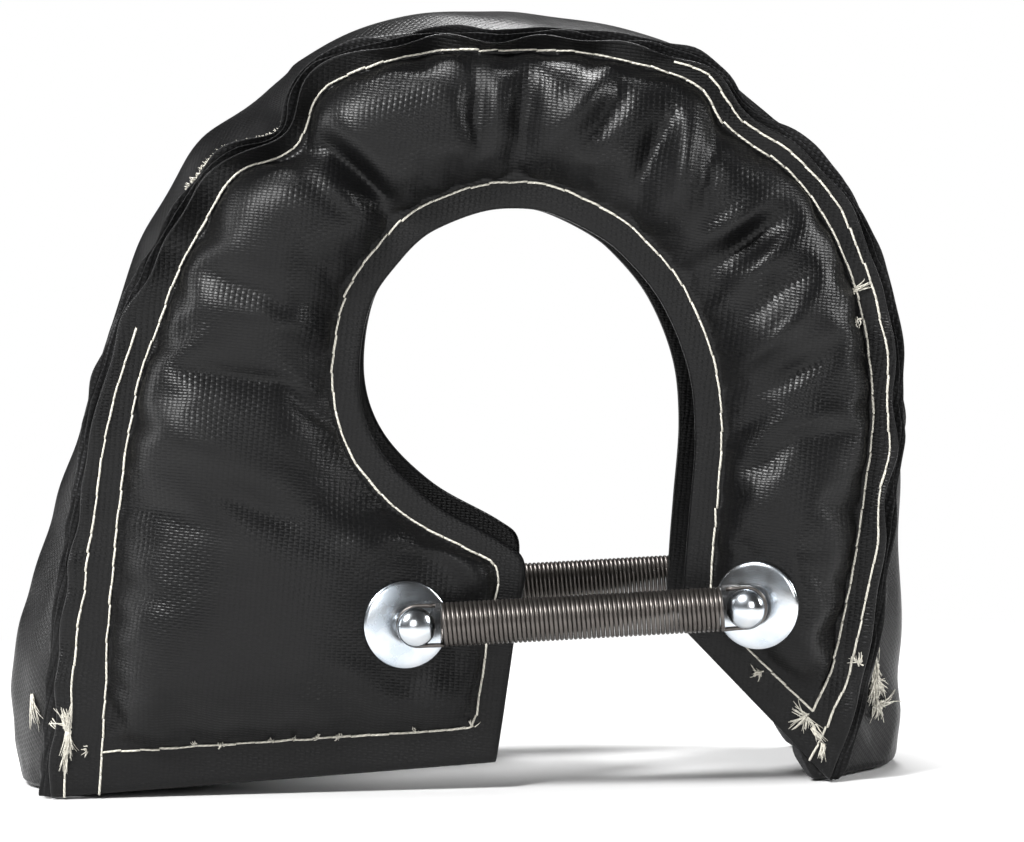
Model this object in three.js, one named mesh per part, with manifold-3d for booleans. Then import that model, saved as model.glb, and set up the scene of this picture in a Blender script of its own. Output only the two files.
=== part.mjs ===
import * as THREE from 'three';
import { mergeVertices } from 'three/addons/utils/BufferGeometryUtils.js';
import Module from 'manifold-3d';

const wasm = await Module();
wasm.setup();

// Turbine housing heat blanket: two quilted panels, a padded band between them, and two springs.
// Millimetres. X runs across the blanket, Y from front to back, Z up from the floor.

// Overall shape, measured at the panels' rims and from seam to seam
const panelWidth = 214;
const panelHeight = 188;
const seamDepth = 75;

// Cloth layers, counted inwards from the outer face of a panel at its seams
const clothThickness = 1.0;
const liningThickness = 0.8;
const gap = 0.3;

// Hem at the hole and the mouth
const hemWidth = 6.7;
const hemThickness = 2.6;
const hemRound = 1.0;
const hemStep = 0.8;

// Seam fin at the rim, where the band's flange is sewn to the panel
const bandOverhang = 2.5;
const bandRoot = 7;
const bandRootRise = 1.7;
const bandRootStep = 0.6;
const footRoot = 0.5;
const footTaper = 0.6;
const liningRootStep = 2.6;
const liningLean = 0.36;
const liningTip = 4;
const liningTipRoom = 2;
const clothFullness = 0.8;
const liningFullness = 1.4;

// Padding
const puffHeight = 10.5;
const puffReach = 7;
const shoulder = 5;
const shoulderShare = 0.2;
const crown = 14;
const crownShare = 0.38;
const lowPad = 2.8;
const wallThickness = 11;
const endThickness = 4.5;
const fillClearance = 1.1;
const fillHemClearance = 6;
const fillSpread = 0.97;

// Lacing anchors
const washerRadius = 11;
const washerRim = 0.9;
const washerHub = 1.8;
const shankRadius = 2.0;
const neckRadius = 2.5;
const headRadius = 4.9;
const headHeight = 4.6;
const headBaseRadius = 3.0;
const headFlare = 1.4;
const headDome = [[1, 0], [0.86, 0.55], [0.5, 0.9], [0, 1]];
const holeClearance = 0.4;
const innerWasherRadius = 8.5;
const innerWasherThickness = 1.0;
const flangeRadius = 4.2;
const flangeThickness = 1.2;
const seatMargin = 13;
const seatFade = 12;
const drillLength = 60;
// Place at the drawn size of the ribs, lean in degrees, and share of the padding's height
const anchors = [
  { name: 'left', x: -27.6, z: 42.6, tilt: 16, rise: 0.6 },
  { name: 'right', x: 59.9, z: 45.6, tilt: 23, rise: 0.74 },
];

// Springs
const wireRadius = 0.55;
const coilRadius = 5.6;
const coilPitch = 1.14;
const springStandOff = 12.7;
const hookRadius = 4.95;

// How finely the pieces are divided
const clothStep = 15;
const pinSides = 10;
const washerSides = 16;
const boreSides = 12;
const coilSides = 7;
const hookSides = 6;
const hookSteps = 12;
const flattest = 0.6;

// The band stands out from this point: level along the legs, fanning over the top
const fanHeight = 0.5 * panelHeight;
const fanPlace = 0.02 * panelWidth;

// Ribs of a panel, from the hem of the left leg over the top to the hem of the right leg.
// inner x, inner z, rim x, rim z, bulge of the band past the rim, share of extra padding, width of the fin.
const ribs = [
  [-5.7, 6.5, -118, 0, 7.5, 0, 13.4],
  [-4, 16, -117, 11, 13, 0, 13.4],
  [-0.4, 38, -115.8, 26, 15.3, 0, 13.4],
  [2.4, 57.6, -114.3, 41, 14.9, 0.06, 12.8],
  [-2.5, 62, -113, 50, 13.4, 0, 12.2],
  [-20.5, 72.8, -109, 71, 10.2, -0.15, 10.8],
  [-33.5, 87, -105, 92, 6.4, 0.1, 10],
  [-37.8, 101.5, -99.5, 112, 5.4, -0.13, 9.5],
  [-34.5, 122.5, -84, 141.5, 8.3, 0.1, 7],
  [-27, 133, -70, 159.5, 10.2, 0.13, 5.5],
  [-21.5, 138.4, -55, 164.5, 14.6, -0.4, 4],
  [-17, 141, -49.5, 179.5, 5.8, 0.11, 6],
  [-6, 144.8, -20, 188, 10.3, 0.08, 4.2],
  [2, 145.4, -1, 187.6, 10, -0.21, 3.6],
  [10, 144.2, 17, 187.5, 7.4, 0.11, 4.2],
  [24, 137, 50, 180, 3.6, -0.25, 6],
  [29, 132.6, 59, 169, 6.3, 0.17, 6.5],
  [37.5, 121.8, 78, 155, 3.8, -0.21, 7.3],
  [44.3, 104.5, 93, 125.5, 3.8, 0.14, 7.6],
  [45.7, 88, 96, 95, 5.4, -0.1, 6.5],
  [43.9, 68, 93, 64, 8.3, 0.14, 7.2],
  [42.8, 57, 87, 26, 13.4, 0.24, 9],
  [42.2, 49.5, 82, 10, 18.4, 0, 11],
  [41.5, 39.5, 78, 0, 18, 0, 12],
];
const leftSeamRib = 1;
const rightSeamRib = 22;

const seamFace = seamDepth / 2;
const spans = ribs.length - 1;
function drawnSize(column) {
  const values = ribs.map((rib) => rib[column]);
  return Math.max(...values) - Math.min(...values);
}
const across = panelWidth / drawnSize(2);
const up = panelHeight / drawnSize(3);

const layer = {
  lining: seamFace - clothThickness - gap,
  bandLining: seamFace - clothThickness - liningThickness - 2 * gap,
  bandCloth: seamFace - clothThickness - 2 * liningThickness - 3 * gap,
};
const springFace = seamFace + springStandOff;

function curveThrough(column) {
  const points = ribs.map((rib) => new THREE.Vector3(rib[column] * across, 0, rib[column + 1] * up));
  return new THREE.CatmullRomCurve3(points, false, 'centripetal');
}
const innerEdge = curveThrough(0);
const rim = curveThrough(2);

function ribValue(t, column) {
  const position = t * spans;
  const first = Math.min(Math.floor(position), spans - 1);
  const share = position - first;
  const eased = (1 - Math.cos(Math.PI * share)) / 2;
  return THREE.MathUtils.lerp(ribs[first][column], ribs[first + 1][column], eased);
}

// Places along the horseshoe, about one step apart at the rim, with every rib among them.
function stations(step) {
  const list = [0];
  for (let i = 0; i < spans; i += 1) {
    const length = rim.getPoint(i / spans).distanceTo(rim.getPoint((i + 1) / spans));
    const parts = Math.max(1, Math.round(length / step));
    for (let k = 1; k <= parts; k += 1) {
      list.push((i + k / parts) / spans);
    }
  }
  return list;
}

function ribAt(t) {
  const inner = innerEdge.getPoint(t);
  const outer = rim.getPoint(t);
  const along = outer.clone().sub(inner);
  const width = along.length();
  along.normalize();
  const slant = (curve) => {
    const tangent = curve.getTangent(t);
    return 1 / Math.max(flattest, Math.abs(tangent.x * along.z - tangent.z * along.x));
  };
  const fin = ribValue(t, 6) * slant(rim);
  return { t, inner, outer, along, width, fin, innerSlant: slant(innerEdge), outerSlant: slant(rim) };
}

function seamLine(index) {
  const a = innerEdge.getPoint(index / spans);
  const b = rim.getPoint(index / spans);
  const normal = new THREE.Vector3(a.z - b.z, 0, b.x - a.x).normalize();
  if (normal.z < 0) {
    normal.negate();
  }
  return { point: a, normal };
}
const leftSeam = seamLine(leftSeamRib);
const rightSeam = seamLine(rightSeamRib);

const plump = (distance) => Math.tanh(Math.max(distance, 0) / puffReach);

function aboveHem(t, point) {
  const seam = t < 0.5 ? leftSeam : rightSeam;
  return point.clone().sub(seam.point).dot(seam.normal);
}

// Direction from each anchor to the other one, which is the way that the spring pulls it.
for (const [i, anchor] of anchors.entries()) {
  const other = anchors[1 - i];
  anchor.place = new THREE.Vector3(anchor.x * across, 0, anchor.z * up);
  anchor.pull = new THREE.Vector3(other.x * across, 0, other.z * up).sub(anchor.place).normalize();
  anchor.angle = THREE.MathUtils.degToRad(anchor.tilt);
  anchor.padHeight = anchor.rise * puffHeight;
  anchor.seat = seamFace + anchor.padHeight + gap;
}

// Height of a panel's cloth over its seams. Around an anchor it lies flat under the washer.
function clothHeight(rib, distance, point) {
  const inward = distance / rib.innerSlant - hemWidth - hemRound;
  const outward = (rib.width - distance - rib.fin) / rib.outerSlant;
  const padded = plump(inward) * plump(outward) * plump(aboveHem(rib.t, point));
  let height = padded * puffHeight * (1 + ribValue(rib.t, 5));
  for (const anchor of anchors) {
    const offset = point.clone().sub(anchor.place);
    const seatEdge = washerRadius + seatMargin;
    const flat = 1 - THREE.MathUtils.smoothstep(offset.length(), seatEdge, seatEdge + seatFade);
    const plane = anchor.padHeight - Math.tan(anchor.angle) * offset.dot(anchor.pull);
    const pressed = Math.min(height, Math.max(plane, lowPad));
    height = THREE.MathUtils.lerp(height, pressed, flat);
  }
  return height;
}

// A closed body between two facing grids: one row of top points and one of under points a section.
function loft(sections) {
  const count = sections[0].top.length;
  const positions = [];
  for (const section of sections) {
    for (const point of [...section.top, ...section.under]) {
      positions.push(point.x, point.y, point.z);
    }
  }
  const top = (s, i) => s * count * 2 + i;
  const under = (s, i) => s * count * 2 + count + i;
  const index = [];
  const quad = (a, b, c, d) => index.push(a, b, c, a, c, d);
  for (let s = 0; s < sections.length - 1; s += 1) {
    for (let i = 0; i < count - 1; i += 1) {
      quad(top(s, i), top(s, i + 1), top(s + 1, i + 1), top(s + 1, i));
      index.push(under(s, i), under(s + 1, i + 1), under(s, i + 1));
      index.push(under(s, i), under(s + 1, i), under(s + 1, i + 1));
    }
    quad(top(s, 0), top(s + 1, 0), under(s + 1, 0), under(s, 0));
    quad(top(s + 1, count - 1), top(s, count - 1), under(s, count - 1), under(s + 1, count - 1));
  }
  const last = sections.length - 1;
  for (let i = 0; i < count - 1; i += 1) {
    quad(top(0, i), under(0, i), under(0, i + 1), top(0, i + 1));
    quad(top(last, i), top(last, i + 1), under(last, i + 1), under(last, i));
  }
  const geometry = new THREE.BufferGeometry();
  geometry.setAttribute('position', new THREE.Float32BufferAttribute(positions, 3));
  geometry.setIndex(index);
  return facingOut(geometry);
}

function facingOut(geometry) {
  const index = geometry.getIndex();
  const place = geometry.getAttribute('position');
  const [a, b, c] = [new THREE.Vector3(), new THREE.Vector3(), new THREE.Vector3()];
  let volume = 0;
  for (let i = 0; i < index.count; i += 3) {
    a.fromBufferAttribute(place, index.getX(i));
    b.fromBufferAttribute(place, index.getX(i + 1));
    c.fromBufferAttribute(place, index.getX(i + 2));
    volume += a.dot(b.cross(c));
  }
  if (volume < 0) {
    for (let i = 0; i < index.count; i += 3) {
      const first = index.getX(i);
      index.setX(i, index.getX(i + 1));
      index.setX(i + 1, first);
    }
  }
  return geometry;
}

function toSolid(geometry) {
  const bare = geometry.clone();
  bare.deleteAttribute('normal');
  bare.deleteAttribute('uv');
  const merged = mergeVertices(bare, 1e-4);
  const vertProperties = new Float32Array(merged.getAttribute('position').array);
  const triVerts = new Uint32Array(merged.getIndex().array);
  return new wasm.Manifold(new wasm.Mesh({ numProp: 3, vertProperties, triVerts }));
}

function toGeometry(solid) {
  const mesh = solid.getMesh();
  const geometry = new THREE.BufferGeometry();
  geometry.setAttribute('position', new THREE.BufferAttribute(new Float32Array(mesh.vertProperties), 3));
  geometry.setIndex(new THREE.BufferAttribute(new Uint32Array(mesh.triVerts), 1));
  return geometry;
}

// A point of a panel: its distance from the inner edge along a rib, and its height from mid depth.
function panelPoint(rib, distance, height, side) {
  const point = rib.inner.clone().addScaledVector(rib.along, distance);
  point.y = side * height;
  return point;
}

function panelLevels(rib) {
  const start = (hemWidth + hemRound) * rib.innerSlant;
  const end = rib.width - rib.fin;
  const room = end - start;
  const near = Math.min(shoulder, shoulderShare * room);
  const far = Math.min(crown, crownShare * room);
  return { start, end, puff: [start + near, start + far, (start + end) / 2, end - far, end - near] };
}

function panelCloth(side) {
  const sections = stations(clothStep).map((t) => {
    const rib = ribAt(t);
    const { start, end, puff } = panelLevels(rib);
    const levels = [0, hemRound, hemWidth - hemStep, hemWidth].map((level) => level * rib.innerSlant);
    levels.push(...puff, end, rib.width);
    const top = [];
    const under = [];
    levels.forEach((distance, i) => {
      const flat = panelPoint(rib, distance, 0, side);
      const face = seamFace + clothHeight(rib, distance, flat);
      const edgeDrop = i === 0 ? hemThickness * 0.25 : 0;
      const thickness = i < 3 ? hemThickness : clothThickness;
      top.push(panelPoint(rib, distance, face - edgeDrop, side));
      under.push(panelPoint(rib, distance, face - thickness + edgeDrop, side));
    });
    return { top, under };
  });
  return loft(sections);
}

function panelLining(side) {
  const sections = stations(clothStep).map((t) => {
    const rib = ribAt(t);
    const levels = [hemWidth * rib.innerSlant + gap, rib.width];
    return {
      top: levels.map((distance) => panelPoint(rib, distance, layer.lining, side)),
      under: levels.map((distance) => panelPoint(rib, distance, layer.lining - liningThickness, side)),
    };
  });
  return loft(sections);
}

function panelFill(side) {
  const sections = [];
  for (const t of stations(clothStep)) {
    const rib = ribAt(t);
    const { puff } = panelLevels(rib);
    const levels = [puff[0], puff[2], puff[4]];
    const flat = levels.map((distance) => panelPoint(rib, distance, 0, side));
    const lowest = Math.min(...flat.map((point) => aboveHem(t, point)));
    if (lowest < fillHemClearance) {
      continue;
    }
    const face = (distance, i) => seamFace + clothHeight(rib, distance, flat[i]) - clothThickness;
    sections.push({
      top: levels.map((distance, i) => panelPoint(rib, distance, face(distance, i) - fillClearance, side)),
      under: levels.map((distance) => panelPoint(rib, distance, layer.lining + gap, side)),
    });
  }
  return loft(sections);
}

// Width of the panel beside its rim, which runs out to nothing at the foot of the right leg.
function panelRoom(t) {
  const outer = rim.getPoint(t);
  const corner = innerEdge.getPoint(1);
  const foot = rim.getPoint(1);
  const share = (outer.z - foot.z) / (corner.z - foot.z);
  return t < 0.5 ? panelWidth : outer.x - THREE.MathUtils.lerp(foot.x, corner.x, share);
}

function bandStation(t) {
  const outer = rim.getPoint(t);
  const root = Math.min(bandRoot, footRoot + footTaper * panelRoom(t));
  const centre = new THREE.Vector3(fanPlace, 0, Math.min(outer.z, fanHeight));
  const outward = outer.clone().sub(centre).normalize();
  const full = Math.tanh(outer.z / puffReach);
  const thickness = THREE.MathUtils.lerp(endThickness, wallThickness, full);
  const liningRoot = root + liningRootStep + liningLean * thickness;
  return { outer, outward, root, liningRoot, thickness, bulge: ribValue(t, 4) * across };
}

function bandPoint(station, past, height) {
  const point = station.outer.clone().addScaledVector(station.outward, past);
  point.y = height;
  return point;
}

// Share of the band's bulge at a height from mid depth.
function bandShape(height, fullness) {
  const share = Math.min(1, Math.abs(height) / clothCentre);
  return Math.pow(Math.cos((Math.PI / 2) * share), fullness);
}

// Moves a flat profile sideways by half of its thickness to each side.
function thicken(profile, thickness) {
  const last = profile.length - 1;
  const direction = (i) => new THREE.Vector2().subVectors(profile[i + 1], profile[i]).normalize();
  const shifted = (sign) => profile.map((point, i) => {
    const a = direction(Math.max(i - 1, 0));
    const b = direction(Math.min(i, last - 1));
    const normal = new THREE.Vector2(-(a.y + b.y), a.x + b.x).normalize();
    const stretch = 1 / Math.max(0.4, normal.dot(new THREE.Vector2(-a.y, a.x)));
    return point.clone().addScaledVector(normal, (sign * thickness * stretch) / 2);
  });
  return { top: shifted(1), under: shifted(-1) };
}

const bandHeights = [0.84, 0.6, 0.24];
const clothCentre = layer.bandCloth - clothThickness / 2;
const liningCentre = layer.bandLining - liningThickness / 2;

function bandClothWall(station, share) {
  const height = clothCentre * share;
  return -station.root + (station.bulge + station.root) * bandShape(height, clothFullness);
}

function bandLiningWall(station, share) {
  const height = clothCentre * share;
  const middle = station.bulge - station.thickness;
  return -station.liningRoot + (middle + station.liningRoot) * bandShape(height, liningFullness);
}

function mirrored(half) {
  return [...half, ...half.map((point) => new THREE.Vector2(point.x, -point.y)).reverse()];
}

function bandLoft(list, profileAt) {
  return loft(list.map((t) => {
    const station = bandStation(t);
    const { top, under } = profileAt(station);
    return {
      top: top.map((point) => bandPoint(station, point.x, point.y)),
      under: under.map((point) => bandPoint(station, point.x, point.y)),
    };
  }));
}

function bandCloth() {
  return bandLoft(stations(clothStep), (station) => {
    const half = [
      new THREE.Vector2(bandOverhang, -clothCentre),
      new THREE.Vector2(-station.root, -clothCentre),
      new THREE.Vector2(-station.root - bandRootStep, -clothCentre + bandRootRise),
      ...bandHeights.map((share) => new THREE.Vector2(bandClothWall(station, share), -clothCentre * share)),
    ];
    return thicken(mirrored(half), clothThickness);
  });
}

function bandLining() {
  return bandLoft(stations(clothStep), (station) => {
    const half = [
      new THREE.Vector2(-Math.min(liningTip, station.liningRoot - liningTipRoom), -liningCentre),
      new THREE.Vector2(-station.liningRoot, -liningCentre),
      ...bandHeights.map((share) => new THREE.Vector2(bandLiningWall(station, share), -clothCentre * share)),
    ];
    return thicken(mirrored(half), liningThickness);
  });
}

function bandFill() {
  const list = stations(clothStep).filter((t) => rim.getPoint(t).z > fillHemClearance);
  return bandLoft(list, (station) => {
    const outer = clothThickness / 2 + fillClearance;
    const inner = liningThickness / 2 + fillClearance;
    const line = (wall, shift) => mirrored(bandHeights.map(
      (share) => new THREE.Vector2(wall(station, share) + shift, -clothCentre * share * fillSpread),
    ));
    return { top: line(bandClothWall, -outer), under: line(bandLiningWall, inner) };
  });
}

// Turns a piece that was made along +Z with its seat at the origin into its place on a panel.
function place(geometry, anchor, side, tilted, shift) {
  const sine = tilted ? Math.sin(anchor.angle) : 0;
  const axis = anchor.pull.clone().multiplyScalar(sine);
  axis.y = side * Math.sqrt(1 - sine * sine);
  const turn = new THREE.Quaternion().setFromUnitVectors(new THREE.Vector3(0, 0, 1), axis);
  geometry.applyQuaternion(turn);
  geometry.translate(shift.x, shift.y, shift.z);
  return geometry;
}

function seatPoint(anchor, side) {
  return anchor.place.clone().setY(side * anchor.seat);
}

// Where the pin's axis crosses a height from mid depth.
function crossing(anchor, side, height) {
  const lean = (height - anchor.seat) * Math.tan(anchor.angle);
  const point = anchor.place.clone().addScaledVector(anchor.pull, lean);
  point.y = side * height;
  return point;
}

const alongPin = (anchor, height) => (height - anchor.seat) / Math.cos(anchor.angle);
const liningInside = layer.lining - liningThickness;
const flangeFace = (anchor) => {
  const washerInside = liningInside - gap - innerWasherThickness;
  return washerInside - gap - flangeRadius * Math.sin(anchor.angle);
};

function headStart(anchor) {
  const room = (wireRadius + headBaseRadius * Math.sin(anchor.angle)) / Math.cos(anchor.angle);
  return alongPin(anchor, springFace) + room + gap;
}

function turned(profile, sides) {
  const points = profile.map(([r, z]) => new THREE.Vector2(r, z));
  return new THREE.LatheGeometry(points, sides).rotateX(Math.PI / 2);
}

function anchorPin(anchor, side) {
  const head = headStart(anchor);
  const inner = alongPin(anchor, flangeFace(anchor));
  const widest = head + headFlare;
  const profile = [
    [0, inner - flangeThickness],
    [flangeRadius, inner - flangeThickness],
    [flangeRadius, inner],
    [shankRadius, inner],
    [shankRadius, washerHub + gap],
    [neckRadius, washerHub + gap],
    [neckRadius, head],
    [headBaseRadius, head],
    ...headDome.map(([out, high]) => [headRadius * out, widest + (headHeight - headFlare) * high]),
  ];
  return place(turned(profile, pinSides), anchor, side, true, seatPoint(anchor, side));
}

function outerWasher(anchor, side) {
  const bore = shankRadius + gap;
  const profile = [[bore, 0], [washerRadius, 0], [washerRadius, washerRim], [bore, washerHub], [bore, 0]];
  return place(turned(profile, washerSides), anchor, side, true, seatPoint(anchor, side));
}

function innerWasher(anchor, side) {
  const lean = Math.tan(anchor.angle) * innerWasherThickness;
  const bore = shankRadius / Math.cos(anchor.angle) + lean / 2 + gap;
  const t = innerWasherThickness;
  const profile = [[bore, 0], [innerWasherRadius, 0], [innerWasherRadius, t], [bore, t], [bore, 0]];
  const shift = crossing(anchor, side, liningInside - gap - t);
  return place(turned(profile, boreSides), anchor, side, false, shift);
}

function drilled(geometry, side) {
  let solid = toSolid(geometry);
  for (const anchor of anchors) {
    const radius = shankRadius + holeClearance;
    const drill = new THREE.CylinderGeometry(radius, radius, drillLength, boreSides).rotateX(Math.PI / 2);
    solid = solid.subtract(toSolid(place(drill, anchor, side, true, seatPoint(anchor, side))));
  }
  return toGeometry(solid);
}

// Close-wound coil between the two hooks, as a sleeve that carries the helix of its wire.
function coil(turns) {
  const ridge = [];
  const groove = [];
  const steps = (turns + 2) * coilSides;
  const grooveRadius = coilRadius - wireRadius;
  const positions = [];
  const add = (radius, angle, along) => {
    positions.push(radius * Math.cos(angle), radius * Math.sin(angle), along);
    return positions.length / 3 - 1;
  };
  for (let i = 0; i <= steps; i += 1) {
    const angle = (2 * Math.PI * i) / coilSides;
    const along = coilPitch * (i / coilSides - 1);
    ridge.push(add(coilRadius, angle, along));
    groove.push(add(grooveRadius, angle, along + coilPitch / 2));
  }
  const index = [];
  const strip = (a, b, c, d) => index.push(a, b, c, a, c, d);
  for (let i = 0; i < steps; i += 1) {
    strip(ridge[i], ridge[i + 1], groove[i + 1], groove[i]);
    if (i + coilSides < steps) {
      strip(groove[i], groove[i + 1], ridge[i + coilSides + 1], ridge[i + coilSides]);
    }
  }
  const startCentre = add(0, 0, -2 * coilPitch);
  const startLoop = [...ridge.slice(0, coilSides + 1), groove[0]];
  startLoop.forEach((vertex, i) => {
    index.push(startCentre, startLoop[(i + 1) % startLoop.length], vertex);
  });
  const endCentre = add(0, 0, coilPitch * (turns + 2.5));
  const endLoop = [...groove.slice(steps - coilSides), ridge[steps]];
  endLoop.forEach((vertex, i) => {
    index.push(endCentre, vertex, endLoop[(i + 1) % endLoop.length]);
  });
  const geometry = new THREE.BufferGeometry();
  geometry.setAttribute('position', new THREE.Float32BufferAttribute(positions, 3));
  geometry.setIndex(index);
  const length = turns * coilPitch;
  const bore = coilRadius - 2 * wireRadius;
  const keep = new THREE.CylinderGeometry(coilRadius * 2, coilRadius * 2, length, 4);
  const hollow = new THREE.CylinderGeometry(bore, bore, length + 2, coilSides);
  for (const piece of [keep, hollow]) {
    piece.rotateX(Math.PI / 2).translate(0, 0, length / 2);
  }
  return toSolid(facingOut(geometry)).intersect(toSolid(keep)).subtract(toSolid(hollow));
}

// One hook: out of the last turn, round the neck of the pin, and back towards the coil.
function hook(centre) {
  const points = [[-wireRadius, hookRadius], [centre * 0.5, hookRadius], [centre, hookRadius]];
  for (let i = 1; i < 6; i += 1) {
    const angle = Math.PI / 2 - (i * Math.PI) / 6;
    points.push([centre + hookRadius * Math.cos(angle), hookRadius * Math.sin(angle)]);
  }
  points.push([centre, -hookRadius], [centre * 0.5, -hookRadius], [wireRadius * 1.2, -hookRadius]);
  const path = new THREE.CatmullRomCurve3(points.map(([along, out]) => new THREE.Vector3(out, 0, along)));
  const corners = Array.from({ length: hookSides }, (_, i) => (2 * Math.PI * i) / hookSides);
  const section = new THREE.Shape(corners.map(
    (angle) => new THREE.Vector2(wireRadius * Math.cos(angle), wireRadius * Math.sin(angle)),
  ));
  const options = { steps: hookSteps, bevelEnabled: false, extrudePath: path };
  return toSolid(new THREE.ExtrudeGeometry(section, options));
}

function spring(side) {
  const [from, to] = anchors.map((anchor) => crossing(anchor, side, springFace));
  const span = from.distanceTo(to);
  const headRoom = anchors.map((anchor) => {
    const lean = (headStart(anchor) + headFlare - alongPin(anchor, springFace)) * Math.sin(anchor.angle);
    return lean + headRadius * Math.cos(anchor.angle) + gap;
  });
  const turns = Math.floor((span - 2 * Math.max(...headRoom)) / coilPitch);
  const length = turns * coilPitch;
  const reach = (span - length) / 2;
  const hookCentre = (anchor) => {
    const neck = neckRadius / Math.cos(anchor.angle) + wireRadius * Math.tan(anchor.angle) + gap;
    return reach + neck - (hookRadius - wireRadius);
  };
  const flip = (solid) => solid.rotate([0, 180, 0]);
  const near = flip(hook(hookCentre(anchors[0])));
  const far = hook(hookCentre(anchors[1])).translate([0, 0, length]);
  const whole = coil(turns).add(near).add(far);
  const geometry = toGeometry(whole);
  const axis = to.clone().sub(from).normalize();
  const sideways = new THREE.Vector3(0, 1, 0);
  const outward = new THREE.Vector3().crossVectors(sideways, axis);
  geometry.applyMatrix4(new THREE.Matrix4().makeBasis(outward, sideways, axis));
  const start = from.clone().addScaledVector(axis, reach);
  geometry.translate(start.x, start.y, start.z);
  return geometry;
}

const finish = {
  cloth: { color: '#1b1b1c', roughness: 0.42, metalness: 0.0 },
  bandCloth: { color: '#222223', roughness: 0.5, metalness: 0.0 },
  lining: { color: '#28282a', roughness: 0.7, metalness: 0.0 },
  fill: { color: '#c9c4b4', roughness: 0.95, metalness: 0.0 },
  zinc: { color: '#b9bdc4', roughness: 0.22, metalness: 1.0 },
  springSteel: { color: '#3b3734', roughness: 0.38, metalness: 0.9 },
};

const group = new THREE.Group();
function addPiece(name, geometry, look) {
  const bare = geometry.clone();
  bare.deleteAttribute('uv');
  bare.computeVertexNormals();
  const mesh = new THREE.Mesh(bare, new THREE.MeshStandardMaterial({ ...look, name }));
  mesh.name = name;
  group.add(mesh);
}

for (const [panel, side] of [['front', -1], ['rear', 1]]) {
  addPiece(`${panel}_cloth`, drilled(panelCloth(side), side), finish.cloth);
  addPiece(`${panel}_insulation`, drilled(panelFill(side), side), finish.fill);
  addPiece(`${panel}_lining`, drilled(panelLining(side), side), finish.lining);
  for (const anchor of anchors) {
    const prefix = `${panel}_${anchor.name}`;
    addPiece(`${prefix}_anchor_pin`, anchorPin(anchor, side), finish.zinc);
    addPiece(`${prefix}_outer_washer`, outerWasher(anchor, side), finish.zinc);
    addPiece(`${prefix}_inner_washer`, innerWasher(anchor, side), finish.zinc);
  }
  addPiece(`${panel}_spring`, spring(side), finish.springSteel);
}
addPiece('band_cloth', bandCloth(), finish.bandCloth);
addPiece('band_insulation', bandFill(), finish.fill);
addPiece('band_lining', bandLining(), finish.lining);

// The origin is the middle of the underside of the whole blanket.
const box = new THREE.Box3().setFromObject(group);
const middle = box.getCenter(new THREE.Vector3());
for (const mesh of group.children) {
  mesh.geometry.translate(-middle.x, -middle.y, -box.min.z);
}

export default group;
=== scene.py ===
"""Turbine housing heat blanket: quilted pads, sewing threads, lacing anchors and springs.

Laid out as an add-on and run as a script. All lengths in code are metres unless a name says mm.
"""

import math

import bmesh
import bpy
import numpy as np
from mathutils import Matrix, Vector
from mathutils.bvhtree import BVHTree

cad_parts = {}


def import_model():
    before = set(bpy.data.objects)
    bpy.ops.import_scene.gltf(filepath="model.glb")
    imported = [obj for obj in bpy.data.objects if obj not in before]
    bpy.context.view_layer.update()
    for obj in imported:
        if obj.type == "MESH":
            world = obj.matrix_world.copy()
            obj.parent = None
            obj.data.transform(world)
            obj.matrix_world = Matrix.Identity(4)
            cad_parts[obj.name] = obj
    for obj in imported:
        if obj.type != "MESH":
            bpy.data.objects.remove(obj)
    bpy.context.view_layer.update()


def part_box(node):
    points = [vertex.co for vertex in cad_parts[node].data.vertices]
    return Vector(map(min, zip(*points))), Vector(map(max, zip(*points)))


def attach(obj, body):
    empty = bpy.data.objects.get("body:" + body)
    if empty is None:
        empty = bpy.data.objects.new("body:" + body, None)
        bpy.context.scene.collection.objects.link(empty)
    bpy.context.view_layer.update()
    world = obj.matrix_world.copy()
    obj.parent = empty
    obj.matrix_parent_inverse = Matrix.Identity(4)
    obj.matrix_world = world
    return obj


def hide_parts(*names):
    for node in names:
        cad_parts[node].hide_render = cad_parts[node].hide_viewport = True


bl_info = {
    "name": "Turbine Heat Blanket",
    "version": (1, 0, 0),
    "blender": (4, 5, 0),
    "location": "View3D > Sidebar > Heat Blanket",
    "description": "Builds a quilted heat blanket with its stitching, anchors and springs",
    "category": "Object",
}

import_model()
MM = 0.001

# Photograph: its frame, and the point of the front seam plane at its centre
PHOTO_SIZE = (1024, 842)
PHOTO_CENTRE_MM = (0.0, 92.4)
MM_PER_PIXEL = 0.25

# Driving sizes of the solids, in millimetres
SEAM_FACE = 37.5
CLOTH = 1.0
LINING = 0.8
GAP = 0.3
HEM_WIDTH = 6.7
HEM_THICKNESS = 2.6
HEM_ROUND = 1.0
WIDEST_FIN = 13.4
BAND_OVERHANG = 2.5
BAND_ROOT = 7.0
FOOT_ROOT = 0.5
LINING_ROOT_STEP = 2.6
PUFF_HEIGHT = 10.5
PUFF_REACH = 7.0
LOW_PAD = 2.8
WALL = 11.0
END_WALL = 4.5
BAND_CLOTH_FACE = SEAM_FACE - CLOTH - 2 * LINING - 3 * GAP
BAND_LINING_FACE = SEAM_FACE - CLOTH - LINING - 2 * GAP
CLOTH_FULLNESS = 0.8
LINING_FULLNESS = 1.4
FAN_HEIGHT = 94.0
FAN_PLACE = 4.28

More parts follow.
